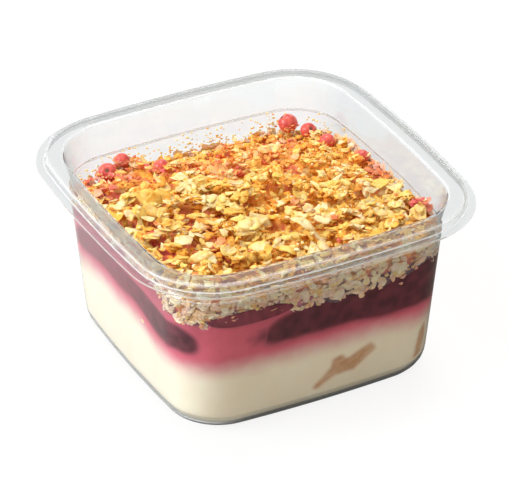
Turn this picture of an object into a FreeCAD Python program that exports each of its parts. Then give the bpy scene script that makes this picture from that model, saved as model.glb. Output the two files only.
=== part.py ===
import FreeCAD, Part
import math
import os
import Sketcher
from FreeCAD import Placement, Rotation, Vector

# A square dessert cup of clear plastic, filled with cream, berry sauce, dark
# berry compote and a topping of pastry crumbs with red berries.  The origin is
# the middle of the underside, +Z is up and the front side faces -Y.  All
# lengths are in millimetres.

SIZES = [
    # The cup: one thin sheet drawn into a mould, so one wall thickness all over.
    ("rim_width", 101.0, "across the trimmed lip, side to side"),
    ("cup_height", 52.75, "underside of the floor to the top of the flange"),
    ("wall", 0.5, "thickness of the drawn sheet"),
    ("lip_width", 2.37, "flat trimmed lip outside the riser"),
    ("riser_height", 2.3, "top of the flange down to the top of the lip"),
    ("flange_width", 5.4, "flat flange, mouth edge to riser"),
    ("collar_depth", 8.9, "top of the flange down to the neck"),
    ("collar_taper", 2.23, "how far the collar narrows on each side"),
    ("undercut", 0.75, "how far the shoulder stands out under the neck"),
    ("shoulder_height", 1.0, "neck down to the widest line of the main wall"),
    ("wall_taper", 3.36, "how far the main wall narrows on each side"),
    ("base_round", 6.5, "outside rounding between wall and floor"),
    ("flange_round", 0.9, "outside rounding of the flange's two edges"),
    ("lip_round", 0.35, "rounding where the riser meets the lip"),
    ("corner_inset", 24.85, "lip's side to the centre of its corner arc"),
    ("base_corner_inset", 15.47, "base outline's side to the centre of its corner arc"),
    ("side_centre", 363.0, "cup's axis to the centre of a bowed side's arc"),
    # Levels of the food, each measured down from the one above.
    ("headroom", 7.9, "top of the flange down to the crumbs"),
    ("crumb_depth", 7.8, "crumbs at the front"),
    ("fruit_depth", 16.4, "crumbs' underside down to the cream at the front"),
    ("sauce_depth", 5.0, "sauce between the cream and the compote"),
    # Cream: banked up along the left side, lower towards the right.
    ("bank_rise", 4.0, "how far the cream is banked up"),
    ("bank_width", 24.0, "left wall to the foot of the bank"),
    ("bank_slope", 20.0, "width of the bank's slope"),
    ("bank_front_gap", 19.3, "front wall to the bank's front end"),
    ("bank_front_slope", 12.0, "length over which that end rises"),
    ("bank_back_slope", 34.0, "length over which the bank fades to the back wall"),
    ("cream_right_fall", 2.4, "how far the cream falls away to the right"),
    ("right_slope", 29.0, "width of that fall and of the crumbs' fall"),
    # Compote: sinks at both left corners.
    ("compote_crown", 1.5, "compote over the fruit's level"),
    ("front_dip", 22.0, "how far the compote sinks at the front left corner"),
    ("back_dip", 13.2, "how far it sinks at the back left corner"),
    ("dip_reach", 10.0, "distance at which a dip has halved"),
    ("front_dip_from_left", 14.3, "left wall to the front dip's middle"),
    ("back_dip_in", 4.0, "left and back wall to the back dip's middle"),
    # Sauce: drawn up along the left side under the crumbs.
    ("sauce_rise", 4.8, "how far the sauce is drawn up"),
    ("sauce_rise_width", 16.0, "left wall to the foot of that rise"),
    ("sauce_rise_slope", 13.0, "width of its slope"),
    ("sauce_rise_front_gap", 10.3, "front wall to its front end"),
    ("sauce_rise_front_slope", 12.0, "length over which that end rises"),
    ("fruit_back_fall", 3.2, "how far the fruit falls away to the back"),
    ("corner_sag", 2.2, "how far the crumbs sink at the front left corner"),
    ("corner_sag_reach", 13.0, "radius of that sag"),
    ("corner_sag_in", 4.3, "left and front wall to its middle"),
    # Crumbs: heaped in the middle, lower at the back and on the right.
    ("heap_crown", 1.3, "how far the middle stands over the sides"),
    ("crumb_back_fall", 7.5, "how far the crumbs fall away to the back"),
    ("crumb_back_slope", 29.0, "width of that fall"),
    ("crumb_right_fall", 3.6, "how far the crumbs fall away to the right"),
    ("crumb_right_gap", 7.3, "front wall to the start of the fall on the right"),
    ("crumb_right_slope", 30.0, "length over which that fall begins"),
    ("back_hump", 4.0, "hump of crumbs by the back wall"),
    ("back_hump_reach", 12.0, "radius of that hump"),
    ("back_hump_from_left", 24.0, "left wall to its middle"),
    ("back_hump_from_back", 5.0, "back wall to its middle"),
    ("crumb_lump", 1.0, "height of the crumbs' lumps"),
    ("lump_pitch", 13.0, "distance between those lumps"),
    ("layer_swell", 0.4, "unevenness of the other layers"),
    ("swell_pitch", 30.0, "distance between their swells"),
    # Pieces in and on the food.
    ("berry_size", 4.9, "diameter of an ordinary red berry"),
    ("berry_clearance", 0.3, "least gap from a berry to the wall"),
    ("dark_piece_size", 4.1, "longest way across the torn dark berry"),
    ("shard_thickness", 2.2, "pastry shard, measured in from the wall"),
    ("tongue_length", 24.0, "thin tongue of compote over the sauce"),
    ("tongue_width", 14.0, "that tongue, measured in from the wall"),
    ("tongue_thickness", 4.2, "that tongue at its middle"),
    ("tongue_from_left", 19.8, "left wall to the tongue's middle"),
    ("tongue_depth", 0.6, "fruit's level down to the tongue's middle"),
]

doc = FreeCAD.newDocument("dessert_cup")
sizes = doc.addObject("Spreadsheet::Sheet", "sizes")
for row, (alias, amount, note) in enumerate(SIZES, start=1):
    sizes.set(f"A{row}", note)
    sizes.set(f"B{row}", str(amount))
    sizes.setAlias(f"B{row}", alias)
doc.recompute()


def size(alias):
    """The sheet's number of that name."""
    return float(sizes.get(alias))


# Half widths of the cup's outlines on the inside of the sheet, and the heights
# they lie at, as expressions on the sheet.
WALL = "sizes.wall"
TOP = "sizes.cup_height"
LIP_TOP = f"({TOP} - sizes.riser_height)"
NECK = f"({TOP} - sizes.collar_depth)"
SHOULDER = f"({NECK} - sizes.shoulder_height)"
LIP_HALF = "sizes.rim_width / 2"
FLANGE_HALF = f"({LIP_HALF} - sizes.lip_width)"
MOUTH_HALF = f"({FLANGE_HALF} - sizes.flange_width)"
NECK_HALF = f"({MOUTH_HALF} - sizes.collar_taper)"
SHOULDER_HALF = f"({NECK_HALF} + sizes.undercut)"
BASE_HALF = f"({SHOULDER_HALF} - sizes.wall_taper)"
RIM_CENTRE = f"({LIP_HALF} - sizes.corner_inset)"
BASE_CENTRE = f"({BASE_HALF} + {WALL} - sizes.base_corner_inset)"

# The same measures as numbers, for the pieces that are shaped in code.
side_centre = size("side_centre")
wall = size("wall")
cup_height = size("cup_height")
lip_top = cup_height - size("riser_height")
neck_height = cup_height - size("collar_depth")
shoulder_height = neck_height - size("shoulder_height")
lip_half = size("rim_width") / 2
flange_half = lip_half - size("lip_width")
mouth_half = flange_half - size("flange_width")
neck_half = mouth_half - size("collar_taper")
shoulder_half = neck_half + size("undercut")
base_half = shoulder_half - size("wall_taper")
rim_corner = lip_half - size("corner_inset")
base_corner = base_half + wall - size("base_corner_inset")


# ---- outlines: a square whose sides bow out and whose corners are arcs --------


def corner_arc_radius(half, corner):
    """Radius of the corner arc that runs smoothly into both bowed sides."""
    return half + side_centre - math.hypot(corner + side_centre, corner)


def outline_arcs(half, corner):
    """Centre, radius, start and end angle of the outline's eight arcs, in turn."""
    turn = math.atan2(corner, corner + side_centre)
    corner_radius = corner_arc_radius(half, corner)
    arcs = []
    for quarter in range(4):
        angle = quarter * math.pi / 2
        axis = Vector(math.cos(angle), math.sin(angle), 0)
        side = Vector(-math.sin(angle), math.cos(angle), 0)
        arcs.append((axis * -side_centre, half + side_centre, angle - turn, angle + turn))
        corner_point = (axis + side) * corner
        arcs.append((corner_point, corner_radius, angle + turn, angle + math.pi / 2 - turn))
    return arcs


def outline_sketch(body, label, level, half, corner, half_now, corner_now):
    """A sketch of the outline at a level, its sizes bound to the sheet."""
    sketch = body.newObject("Sketcher::SketchObject", label)
    plane = next(o for o in body.Origin.OriginFeatures if o.Role == "XY_Plane")
    sketch.AttachmentSupport = [(plane, "")]
    sketch.MapMode = "FlatFace"
    sketch.setExpression(".AttachmentOffset.Base.z", level)
    for centre, radius, start, end in outline_arcs(half_now, corner_now):
        circle = Part.Circle(centre, Vector(0, 0, 1), radius)
        sketch.addGeometry(Part.ArcOfCircle(circle, start, end), False)
    for arc in range(8):
        sketch.addConstraint(Sketcher.Constraint("Tangent", arc, 2, (arc + 1) % 8, 1))
    for quarter in range(4):
        side_arc = 2 * quarter
        axis_line = -1 if quarter % 2 == 0 else -2
        across = "DistanceX" if quarter % 2 == 0 else "DistanceY"
        sketch.addConstraint(Sketcher.Constraint("PointOnObject", side_arc, 3, axis_line))
        if quarter < 2:
            offset = Sketcher.Constraint(across, side_arc, 3, -1, 1, side_centre)
        else:
            offset = Sketcher.Constraint(across, -1, 1, side_arc, 3, side_centre)
        placed = sketch.addConstraint(offset)
        sketch.setExpression(f"Constraints[{placed}]", "sizes.side_centre")
        bow = Sketcher.Constraint("Radius", side_arc, half_now + side_centre)
        bowed = sketch.addConstraint(bow)
        sketch.setExpression(f"Constraints[{bowed}]", f"{half} + sizes.side_centre")
        corner_arc = side_arc + 1
        if quarter in (0, 3):
            inward = Sketcher.Constraint("DistanceX", -1, 1, corner_arc, 3, corner_now)
        else:
            inward = Sketcher.Constraint("DistanceX", corner_arc, 3, -1, 1, corner_now)
        rounded = sketch.addConstraint(inward)
        sketch.setExpression(f"Constraints[{rounded}]", corner)
    return sketch


def outline_half(point, corner):
    """Half width of the outline with that corner centre which passes the point."""
    long_way = max(abs(point.x), abs(point.y))
    short_way = min(abs(point.x), abs(point.y))
    turn = math.atan2(corner, corner + side_centre)
    if math.atan2(short_way, long_way + side_centre) <= turn:
        return math.hypot(long_way + side_centre, short_way) - side_centre
    corner_gap = math.hypot(long_way - corner, short_way - corner)
    return corner_gap + math.hypot(corner + side_centre, corner) - side_centre


def loop_edges(shape, level, half, corner):
    """Names of the edges that lie on one outline, to be rounded together."""
    near = 0.05
    names = []
    for number, edge in enumerate(shape.Edges, start=1):
        middle = edge.valueAt((edge.FirstParameter + edge.LastParameter) / 2)
        on_level = all(abs(v.Z - level) < near for v in edge.Vertexes)
        if on_level and abs(middle.z - level) < near:
            if abs(outline_half(middle, corner) - half) < near:
                names.append(f"Edge{number}")
    return names


def round_loop(body, label, radius, level, half, corner):
    """Rounds one loop of edges of the body's newest feature."""
    doc.recompute()
    base = body.Tip
    edges = loop_edges(base.Shape, level, half, corner)
    fillet = body.newObject("PartDesign::Fillet", label)
    fillet.Base = (base, edges)
    fillet.Radius = 0.1
    fillet.setExpression("Radius", radius)
    return fillet


def loft(body, label, lower, upper):
    """A straight-sided solid between two outlines."""
    piece = body.newObject("PartDesign::AdditiveLoft", label)
    piece.Profile = (lower, [""])
    piece.Sections = [(upper, [""])]
    piece.Ruled = True
    return piece


# ---- the form of the cup: base, tapered wall, shoulder, collar, flange and lip


def make_cup_form():
    """The cup's outside, solid within: what the drawn sheet covers."""
    body = doc.addObject("PartDesign::Body", "cup_form")
    under_lip = f"{LIP_TOP} - {WALL}"
    flange = outline_sketch(
        body, "flange_outline", under_lip, FLANGE_HALF, RIM_CENTRE, flange_half, rim_corner
    )
    flange_pad = body.newObject("PartDesign::Pad", "flange_block")
    flange_pad.Profile = flange
    flange_pad.setExpression("Length", f"sizes.riser_height + {WALL}")
    lip = outline_sketch(body, "lip_outline", under_lip, LIP_HALF, RIM_CENTRE, lip_half, rim_corner)
    lip_pad = body.newObject("PartDesign::Pad", "lip_plate")
    lip_pad.Profile = lip
    lip_pad.setExpression("Length", WALL)
    channel_half = f"{FLANGE_HALF} - {WALL}"
    channel = outline_sketch(
        body, "channel_outline", under_lip, channel_half, RIM_CENTRE, flange_half - wall, rim_corner
    )
    channel_cut = body.newObject("PartDesign::Pocket", "channel_under_flange")
    channel_cut.Profile = channel
    channel_cut.Reversed = True
    channel_cut.setExpression("Length", "sizes.riser_height")
    channel_top = cup_height - wall
    sheet_round = f"sizes.flange_round - {WALL}"
    round_loop(body, "flange_edge", "sizes.flange_round", cup_height, flange_half, rim_corner)
    round_loop(body, "channel_edge", sheet_round, channel_top, flange_half - wall, rim_corner)
    round_loop(body, "lip_root", "sizes.lip_round", lip_top, flange_half, rim_corner)

    outside_base = f"{BASE_HALF} + {WALL}"
    outside_shoulder = f"{SHOULDER_HALF} + {WALL}"
    outside_neck = f"{NECK_HALF} + {WALL}"
    outside_mouth = f"{MOUTH_HALF} + {WALL}"
    base = outline_sketch(
        body, "base_outline", "0 mm", outside_base, BASE_CENTRE, base_half + wall, base_corner
    )
    shoulder = outline_sketch(
        body, "shoulder_outline", SHOULDER, outside_shoulder, RIM_CENTRE, shoulder_half + wall, rim_corner
    )
    neck = outline_sketch(
        body, "neck_outline", NECK, outside_neck, RIM_CENTRE, neck_half + wall, rim_corner
    )
    collar = outline_sketch(
        body, "collar_outline", f"{TOP} - {WALL}", outside_mouth, RIM_CENTRE, mouth_half + wall, rim_corner
    )
    loft(body, "collar_form", neck, collar)
    round_loop(body, "collar_root", sheet_round, channel_top, mouth_half + wall, rim_corner)
    loft(body, "shoulder_form", shoulder, neck)
    loft(body, "wall_form", base, shoulder)
    round_loop(body, "base_edge", "sizes.base_round", 0, base_half + wall, base_corner)
    return body


# ---- the space inside the cup, which the cup leaves free and the food fills ---


def make_food_space():
    """The hollow of the cup as a solid, which the layers of food share out."""
    body = doc.addObject("PartDesign::Body", "food_space")
    floor = outline_sketch(body, "floor", WALL, BASE_HALF, BASE_CENTRE, base_half, base_corner)
    shoulder = outline_sketch(
        body, "inner_shoulder", SHOULDER, SHOULDER_HALF, RIM_CENTRE, shoulder_half, rim_corner
    )
    neck = outline_sketch(body, "inner_neck", NECK, NECK_HALF, RIM_CENTRE, neck_half, rim_corner)
    mouth = outline_sketch(body, "mouth", TOP, MOUTH_HALF, RIM_CENTRE, mouth_half, rim_corner)
    loft(body, "collar_space", neck, mouth)
    loft(body, "shoulder_space", shoulder, neck)
    loft(body, "wall_space", floor, shoulder)
    floor_round = f"sizes.base_round - {WALL}"
    round_loop(body, "floor_edge", floor_round, wall, base_half, base_corner)
    return body


# ---- cup: the form less its hollow, with the mouth's edge rounded -------------


def make_cup(form, hollow):
    """The drawn cup with its stacking neck, flat flange and trimmed lip."""
    shell = doc.addObject("Part::Cut", "cup_shell")
    shell.Base = form
    shell.Tool = hollow
    doc.recompute()
    radius = size("flange_round")
    rounded = doc.addObject("Part::Fillet", "cup")
    rounded.Base = shell
    mouth_edges = loop_edges(shell.Shape, cup_height, mouth_half, rim_corner)
    rounded.Edges = [(int(name[len("Edge"):]), radius, radius) for name in mouth_edges]
    doc.recompute()
    return rounded


food_space = make_food_space()
cup = make_cup(make_cup_form(), food_space)


# ---- layers: gently uneven surfaces between cream, sauce, compote and crumbs --

crumb_level = cup_height - size("headroom")
fruit_level = crumb_level - size("crumb_depth")
cream_level = fruit_level - size("fruit_depth")


def rise(amount):
    """A smooth step: 0 below zero, 1 above one."""
    held = min(1.0, max(0.0, amount))
    return held * held * (3 - 2 * held)


def from_left(x):
    """Distance in from the left wall at its widest line."""
    return x + shoulder_half


def from_right(x):
    """Distance in from the right wall."""
    return shoulder_half - x


def from_front(y):
    """Distance in from the front wall."""
    return y + shoulder_half


def from_back(y):
    """Distance in from the back wall."""
    return shoulder_half - y


def bank(x, y):
    """1 along the left side's middle, 0 at its front end and over the rest."""
    slope = rise((size("bank_width") - from_left(x)) / size("bank_slope"))
    front_end = rise((from_front(y) - size("bank_front_gap")) / size("bank_front_slope"))
    back_end = rise(from_back(y) / size("bank_back_slope"))
    return slope * front_end * back_end


# Directions of the three crossing waves that make a surface uneven.
WAVES = [(0.92, 0.38), (-0.45, 0.97), (0.61, -0.66)]


def swell(x, y, pitch, layer):
    """A soft uneven swell between -1 and 1, different for each layer's number."""
    turns = 2 * math.pi / pitch
    waves = [math.sin(turns * (a * x + b * y) + layer * (a + 2)) for a, b in WAVES]
    return sum(waves) / len(waves)


def layer_swell(x, y, layer):
    """The slight unevenness of a layer below the crumbs."""
    return size("layer_swell") * swell(x, y, size("swell_pitch"), layer)


def dip(depth, gap):
    """A round hollow of that depth, at a distance from its middle."""
    return depth / (1 + (gap / size("dip_reach")) ** 2)


def cream_top(x, y):
    """Top of the cream."""
    banked = size("bank_rise") * bank(x, y)
    fall = size("cream_right_fall") * rise(1 - from_right(x) / size("right_slope"))
    return cream_level + banked - fall + layer_swell(x, y, 1)


def compote_floor(x, y):
    """Underside of the compote: the sauce below it is about even."""
    return cream_top(x, y) + size("sauce_depth") + layer_swell(x, y, 2)


def compote_top(x, y):
    """Top of the compote, which sinks at the left corners."""
    front_gap = math.hypot(from_left(x) - size("front_dip_from_left"), from_front(y))
    back_gap = math.hypot(from_left(x) - size("back_dip_in"), from_back(y) - size("back_dip_in"))
    sunk = dip(size("front_dip"), front_gap) + dip(size("back_dip"), back_gap)
    return fruit_level + size("compote_crown") - sunk + layer_swell(x, y, 3)


def fruit_top(x, y):
    """Underside of the crumbs."""
    left_side = rise((size("sauce_rise_width") - from_left(x)) / size("sauce_rise_slope"))
    past_end = from_front(y) - size("sauce_rise_front_gap")
    drawn_up = size("sauce_rise") * left_side * rise(past_end / size("sauce_rise_front_slope"))
    fall = size("fruit_back_fall") * rise(y / shoulder_half)
    corner_gap = math.hypot(from_left(x) - size("corner_sag_in"), from_front(y) - size("corner_sag_in"))
    sag = size("corner_sag") * rise(1 - corner_gap / size("corner_sag_reach"))
    return fruit_level + drawn_up - fall - sag + layer_swell(x, y, 4)


def crumb_top(x, y):
    """Top of the crumbs, lumpy and lower at the back and on the right."""
    back_fall = size("crumb_back_fall") * rise(1 - from_back(y) / size("crumb_back_slope"))
    right_side = rise(1 - from_right(x) / size("right_slope"))
    past_start = from_front(y) - size("crumb_right_gap")
    right_fall = size("crumb_right_fall") * right_side * rise(past_start / size("crumb_right_slope"))
    hump_x = from_left(x) - size("back_hump_from_left")
    hump_y = from_back(y) - size("back_hump_from_back")
    hump = size("back_hump") * rise(1 - math.hypot(hump_x, hump_y) / size("back_hump_reach"))
    crown = size("heap_crown") * (1 - rise(math.hypot(x, y) / shoulder_half))
    lumps = size("crumb_lump") * swell(x, y, size("lump_pitch"), 5)
    return crumb_level + crown + hump - math.hypot(back_fall, right_fall) + lumps


SURFACE_MARGIN = 2.0
SURFACE_STEPS = 24


def make_below(label, height):
    """A block whose top is the given uneven surface, wider than the cup."""
    reach = lip_half + SURFACE_MARGIN
    places = [2 * reach * step / SURFACE_STEPS - reach for step in range(SURFACE_STEPS + 1)]
    grid = [[Vector(x, y, height(x, y)) for y in places] for x in places]
    surface = Part.BSplineSurface()
    surface.interpolate(grid)
    block = surface.toShape().extrude(Vector(0, 0, -2 * cup_height))
    if block.Volume < 0:
        block.reverse()
    piece = doc.addObject("Part::Feature", label)
    piece.Shape = block
    return piece


below_cream = make_below("below_cream", cream_top)
below_compote = make_below("below_compote", compote_floor)
below_compote_top = make_below("below_compote_top", compote_top)
below_fruit = make_below("below_fruit", fruit_top)
below_crumbs = make_below("below_crumbs", crumb_top)


def common(label, pieces):
    """What all the pieces have in common."""
    shared = doc.addObject("Part::MultiCommon", label)
    shared.Shapes = pieces
    return shared


def fused(label, pieces):
    """Several pieces as one tool for a cut."""
    together = doc.addObject("Part::MultiFuse", label)
    together.Shapes = pieces
    return together


def cut(label, base, tool):
    """The base without the tool."""
    left = doc.addObject("Part::Cut", label)
    left.Base = base
    left.Tool = tool
    return left


# ---- red berries: small, round, half sunk in the crumbs -----------------------

# Each berry's middle by its distance in from a side wall and from an end wall,
# its height over the crumbs' level, and its size against the ordinary one.
BERRIES = [
    (11.6, "right", 4.7, "back", -4.1, 1.12),
    (7.7, "right", 9.4, "back", -5.0, 0.90),
    (6.0, "right", 17.3, "back", -4.9, 0.92),
    (2.7, "right", 31.3, "back", -3.5, 0.84),
    (2.9, "right", 22.9, "front", -3.7, 0.94),
    (28.9, "left", 10.3, "back", -3.7, 0.94),
    (14.9, "left", 5.6, "back", -3.8, 1.06),
    (20.8, "left", 2.6, "back", -3.3, 0.84),
    (9.7, "left", 37.6, "front", -2.0, 0.90),
    (20.1, "left", 21.4, "front", -1.2, 0.98),
]
# A berry's three widths against its diameter, and how much more each one in
# turn is tilted.
BERRY_FORM = (0.92, 1.0, 0.98)
BERRY_TILT_STEP = 4


def place_in_cup(from_side, side, from_end, end, height):
    """A point given by its distances in from two walls of the cup."""
    x = shoulder_half - from_side
    y = shoulder_half - from_end
    return Vector(x if side == "right" else -x, y if end == "back" else -y, height)


def ellipsoid(label, widths):
    """A rounded piece with those three widths, each an expression."""
    piece = doc.addObject("Part::Ellipsoid", label)
    for radius, width in zip(("Radius1", "Radius2", "Radius3"), widths):
        piece.setExpression(radius, f"{width} / 2")
    return piece


def make_berry(number, from_side, side, from_end, end, above, share):
    """One berry, a little flatter than it is wide, tilted its own way."""
    widths = [f"sizes.berry_size * {share * form}" for form in BERRY_FORM]
    berry = ellipsoid(f"red_berry_{number}", widths)
    room = size("berry_clearance") + size("berry_size") * share / 2
    middle = place_in_cup(max(from_side, room), side, max(from_end, room), end, crumb_level + above)
    tilt = Rotation(Vector(math.cos(number), math.sin(number), 0), BERRY_TILT_STEP * number)
    berry.Placement = Placement(middle, tilt)
    return berry


red_berries = [make_berry(number, *spot) for number, spot in enumerate(BERRIES, start=1)]

# ---- dark berry piece: one torn piece, by the left wall -----------------------

DARK_PIECE_FORM = (0.72, 1.0, 0.8)
DARK_PIECE_SPOT = (6.6, "left", 18.2, "back", crumb_level - 2.9)
DARK_PIECE_TURN = 35

dark_widths = [f"sizes.dark_piece_size * {form}" for form in DARK_PIECE_FORM]
dark_berry_piece = ellipsoid("dark_berry_piece", dark_widths)
dark_turn = Rotation(Vector(0, 0, 1), DARK_PIECE_TURN)
dark_berry_piece.Placement = Placement(place_in_cup(*DARK_PIECE_SPOT), dark_turn)

# ---- pastry shards: two thin slivers in the cream, flat against the wall ------

# Outlines in the plane of the wall: along the wall to the right, and up.
LONG_SHARD = [
    (-9.0, -4.5),
    (-3.5, -1.8),
    (2.0, -1.6),
    (8.0, 2.6),
    (6.8, 4.2),
    (0.0, 1.2),
    (-2.0, 3.0),
    (-3.8, 2.4),
    (-4.4, -0.2),
]
SHORT_SHARD = [(-1.2, -4.2), (0.6, -3.6), (1.6, 0.5), (1.1, 4.4), (-0.3, 3.0), (-0.9, -0.6)]
# The way each shard faces, its place along the wall and its depth in the cream.
LONG_SHARD_SPOT = (-90, 7.4, 8.7)
SHORT_SHARD_SPOT = (-50, 0.6, 9.9)
HALVINGS = 30


def wall_distance(turn, along, height):
    """Distance from the axis to the inner wall, along a line the turn gives."""
    share = (height - wall) / (shoulder_height - wall)
    half = base_half + (shoulder_half - base_half) * share
    corner = base_corner + (rim_corner - base_corner) * share
    inside = 0.0
    outside = 2 * half
    for _ in range(HALVINGS):
        middle = (inside + outside) / 2
        if outline_half(turn.multVec(Vector(along, -middle, 0)), corner) < half:
            inside = middle
        else:
            outside = middle
    return inside


def make_shard(label, outline, facing, along, depth):
    """A sliver with that outline, cut off flush by the wall that it faces."""
    body = doc.addObject("PartDesign::Body", label + "_blank")
    sketch = body.newObject("Sketcher::SketchObject", label + "_outline")
    plane = next(o for o in body.Origin.OriginFeatures if o.Role == "XZ_Plane")
    sketch.AttachmentSupport = [(plane, "")]
    sketch.MapMode = "FlatFace"
    corners = [Vector(across, up, 0) for across, up in outline]
    for start, end in zip(corners, corners[1:] + corners[:1]):
        sketch.addGeometry(Part.LineSegment(start, end), False)
    for line in range(len(corners)):
        following = (line + 1) % len(corners)
        sketch.addConstraint(Sketcher.Constraint("Coincident", line, 2, following, 1))
    for line in range(len(corners)):
        sketch.addConstraint(Sketcher.Constraint("Block", line))
    pad = body.newObject("PartDesign::Pad", label + "_pad")
    pad.Profile = sketch
    pad.setExpression("Length", "sizes.shard_thickness * 2 + sizes.wall_taper")
    height = cream_level - depth
    turn = Rotation(Vector(0, 0, 1), facing + 90)
    inner_side = wall_distance(turn, along, height) - size("shard_thickness")
    body.Placement = Placement(turn.multVec(Vector(along, -inner_side, height)), turn)
    return common(label, [body, food_space])


long_shard = make_shard("pastry_shard_1", LONG_SHARD, *LONG_SHARD_SPOT)
short_shard = make_shard("pastry_shard_2", SHORT_SHARD, *SHORT_SHARD_SPOT)

# ---- compote tongue: dark berry skins lying on the sauce at the front wall ----

tongue_widths = ["sizes.tongue_thickness", "sizes.tongue_length", "sizes.tongue_width * 2"]
tongue_blank = ellipsoid("tongue_blank", tongue_widths)
tongue_middle = Vector(size("tongue_from_left") - shoulder_half, -shoulder_half, 0)
tongue_middle.z = fruit_level - size("tongue_depth")
tongue_blank.Placement = Placement(tongue_middle, Rotation())
compote_tongue = common("compote_tongue", [tongue_blank, food_space])

# ---- the layers themselves ----------------------------------------------------

cream_fill = common("cream_fill", [food_space, below_cream])
shards = fused("shards", [long_shard, short_shard])
cream = cut("cream", cream_fill, shards)

compote_slab = common("compote_slab", [food_space, below_compote_top, below_fruit])
compote_above = cut("compote_above", compote_slab, below_compote)
dark_compote = cut("dark_compote", compote_above, compote_tongue)

fruit_fill = common("fruit_fill", [food_space, below_fruit])
fruit_over_cream = cut("fruit_over_cream", fruit_fill, below_cream)
dark_parts = fused("dark_parts", [compote_above, compote_tongue])
berry_sauce = cut("berry_sauce", fruit_over_cream, dark_parts)

crumb_fill = common("crumb_fill", [food_space, below_crumbs])
crumb_layer = cut("crumb_layer", crumb_fill, below_fruit)
sunk_pieces = fused("sunk_pieces", red_berries + [dark_berry_piece, compote_tongue])
crumb_topping = cut("crumb_topping", crumb_layer, sunk_pieces)

doc.recompute()

NODES = [cup, cream, berry_sauce, dark_compote, compote_tongue, crumb_topping]
NODES += red_berries
NODES += [dark_berry_piece, long_shard, short_shard]

for item in doc.Objects:
    if "Invalid" in item.State or "Error" in item.State:
        raise RuntimeError(f"{item.Label} did not build: {item.State}")
for node in NODES:
    if node.Shape.isNull() or not node.Shape.isValid():
        raise RuntimeError(f"{node.Label} has no valid shape")

os.makedirs("parts", exist_ok=True)
for node in NODES:
    node.Shape.exportStep(os.path.join("parts", node.Label + ".step"))
    box = node.Shape.BoundBox
    print(
        f"{node.Label}: {len(node.Shape.Solids)} solid, {node.Shape.Volume:.0f} mm3, "
        f"x {box.XMin:.1f} {box.XMax:.1f}, y {box.YMin:.1f} {box.YMax:.1f}, z {box.ZMin:.1f} {box.ZMax:.1f}"
    )
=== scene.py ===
import math
import random

import bmesh
import bpy
import numpy as np
from mathutils import Matrix, Vector, noise
from mathutils.bvhtree import BVHTree


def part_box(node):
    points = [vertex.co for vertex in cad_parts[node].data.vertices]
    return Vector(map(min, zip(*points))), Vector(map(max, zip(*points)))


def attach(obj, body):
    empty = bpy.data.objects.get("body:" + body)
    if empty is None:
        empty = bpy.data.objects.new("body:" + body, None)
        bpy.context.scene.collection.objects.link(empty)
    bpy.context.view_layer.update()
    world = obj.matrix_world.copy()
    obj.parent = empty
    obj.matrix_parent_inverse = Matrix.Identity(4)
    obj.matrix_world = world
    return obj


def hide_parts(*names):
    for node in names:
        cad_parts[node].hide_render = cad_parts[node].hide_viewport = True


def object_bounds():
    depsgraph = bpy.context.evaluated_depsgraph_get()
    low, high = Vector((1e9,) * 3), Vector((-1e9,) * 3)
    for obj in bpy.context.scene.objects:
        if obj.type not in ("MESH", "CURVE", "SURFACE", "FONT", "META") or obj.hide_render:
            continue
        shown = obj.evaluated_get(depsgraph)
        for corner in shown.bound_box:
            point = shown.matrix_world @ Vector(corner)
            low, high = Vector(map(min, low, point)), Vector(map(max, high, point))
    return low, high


# A square dessert cup of clear plastic, filled with cream, berry sauce, dark
# berry compote and a heap of pastry crumbs with red berries.  The frame is the
# CAD model's: the middle of the underside is the origin, +Z is up and the front
# faces -Y.  Shapes are worked out in millimetres and become metres in a mesh.

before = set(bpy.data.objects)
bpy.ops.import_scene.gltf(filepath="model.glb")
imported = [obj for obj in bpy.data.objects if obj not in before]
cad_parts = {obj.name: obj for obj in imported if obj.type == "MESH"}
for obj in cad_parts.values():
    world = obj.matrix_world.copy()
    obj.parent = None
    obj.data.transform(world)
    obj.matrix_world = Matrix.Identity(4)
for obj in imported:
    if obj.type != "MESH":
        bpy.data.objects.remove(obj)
cad_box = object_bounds()
MM = 0.001

# ---- camera ------------------------------------------------------------------
# It looks down on the front left corner of the cup from far away, through a long
# lens, so that the upright edges stay nearly parallel.

CAMERA_TURN = math.radians(-27.292)
CAMERA_LIFT = math.radians(32.007)
CAMERA_ROLL = math.radians(-0.268)
CAMERA_DISTANCE = 0.98551
LOOKED_AT = Vector((0, 0, 0.02999))

camera_data = bpy.data.cameras.new("camera")
camera_data.sensor_width = 36
camera_data.lens = 259.25
camera_data.shift_x = 0.00103
camera_data.shift_y = -0.00211
camera_data.clip_start = 0.05
camera_data.clip_end = 20
camera = bpy.data.objects.new("camera", camera_data)
bpy.context.scene.collection.objects.link(camera)
level = math.cos(CAMERA_LIFT)
backward = Vector(
    (math.sin(CAMERA_TURN) * level, -math.cos(CAMERA_TURN) * level, math.sin(CAMERA_LIFT))
)
rightward = Vector((math.cos(CAMERA_TURN), math.sin(CAMERA_TURN), 0))
facing = Matrix((rightward, backward.cross(rightward), backward)).transposed()
camera.matrix_world = (
    Matrix.Translation(LOOKED_AT + backward * CAMERA_DISTANCE)
    @ facing.to_4x4()
    @ Matrix.Rotation(CAMERA_ROLL, 4, "Z")
)
bpy.context.scene.camera = camera
bpy.context.scene.view_settings.view_transform = "Standard"

# ---- studio ------------------------------------------------------------------
# A white floor, soft light from the left and a weak warm surround.  The floor and
# the world are white to the eye and in clear things, but throw much less onto the
# food, because a dark room stands round the table.

FLOOR_SIZE = 3.0
FLOOR_DROP = 0.00005
FLOOR_SHARE_OF_SHADE = 0.13
FLOOR_BOUNCE = (0.63, 0.57, 0.48, 1)
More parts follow.
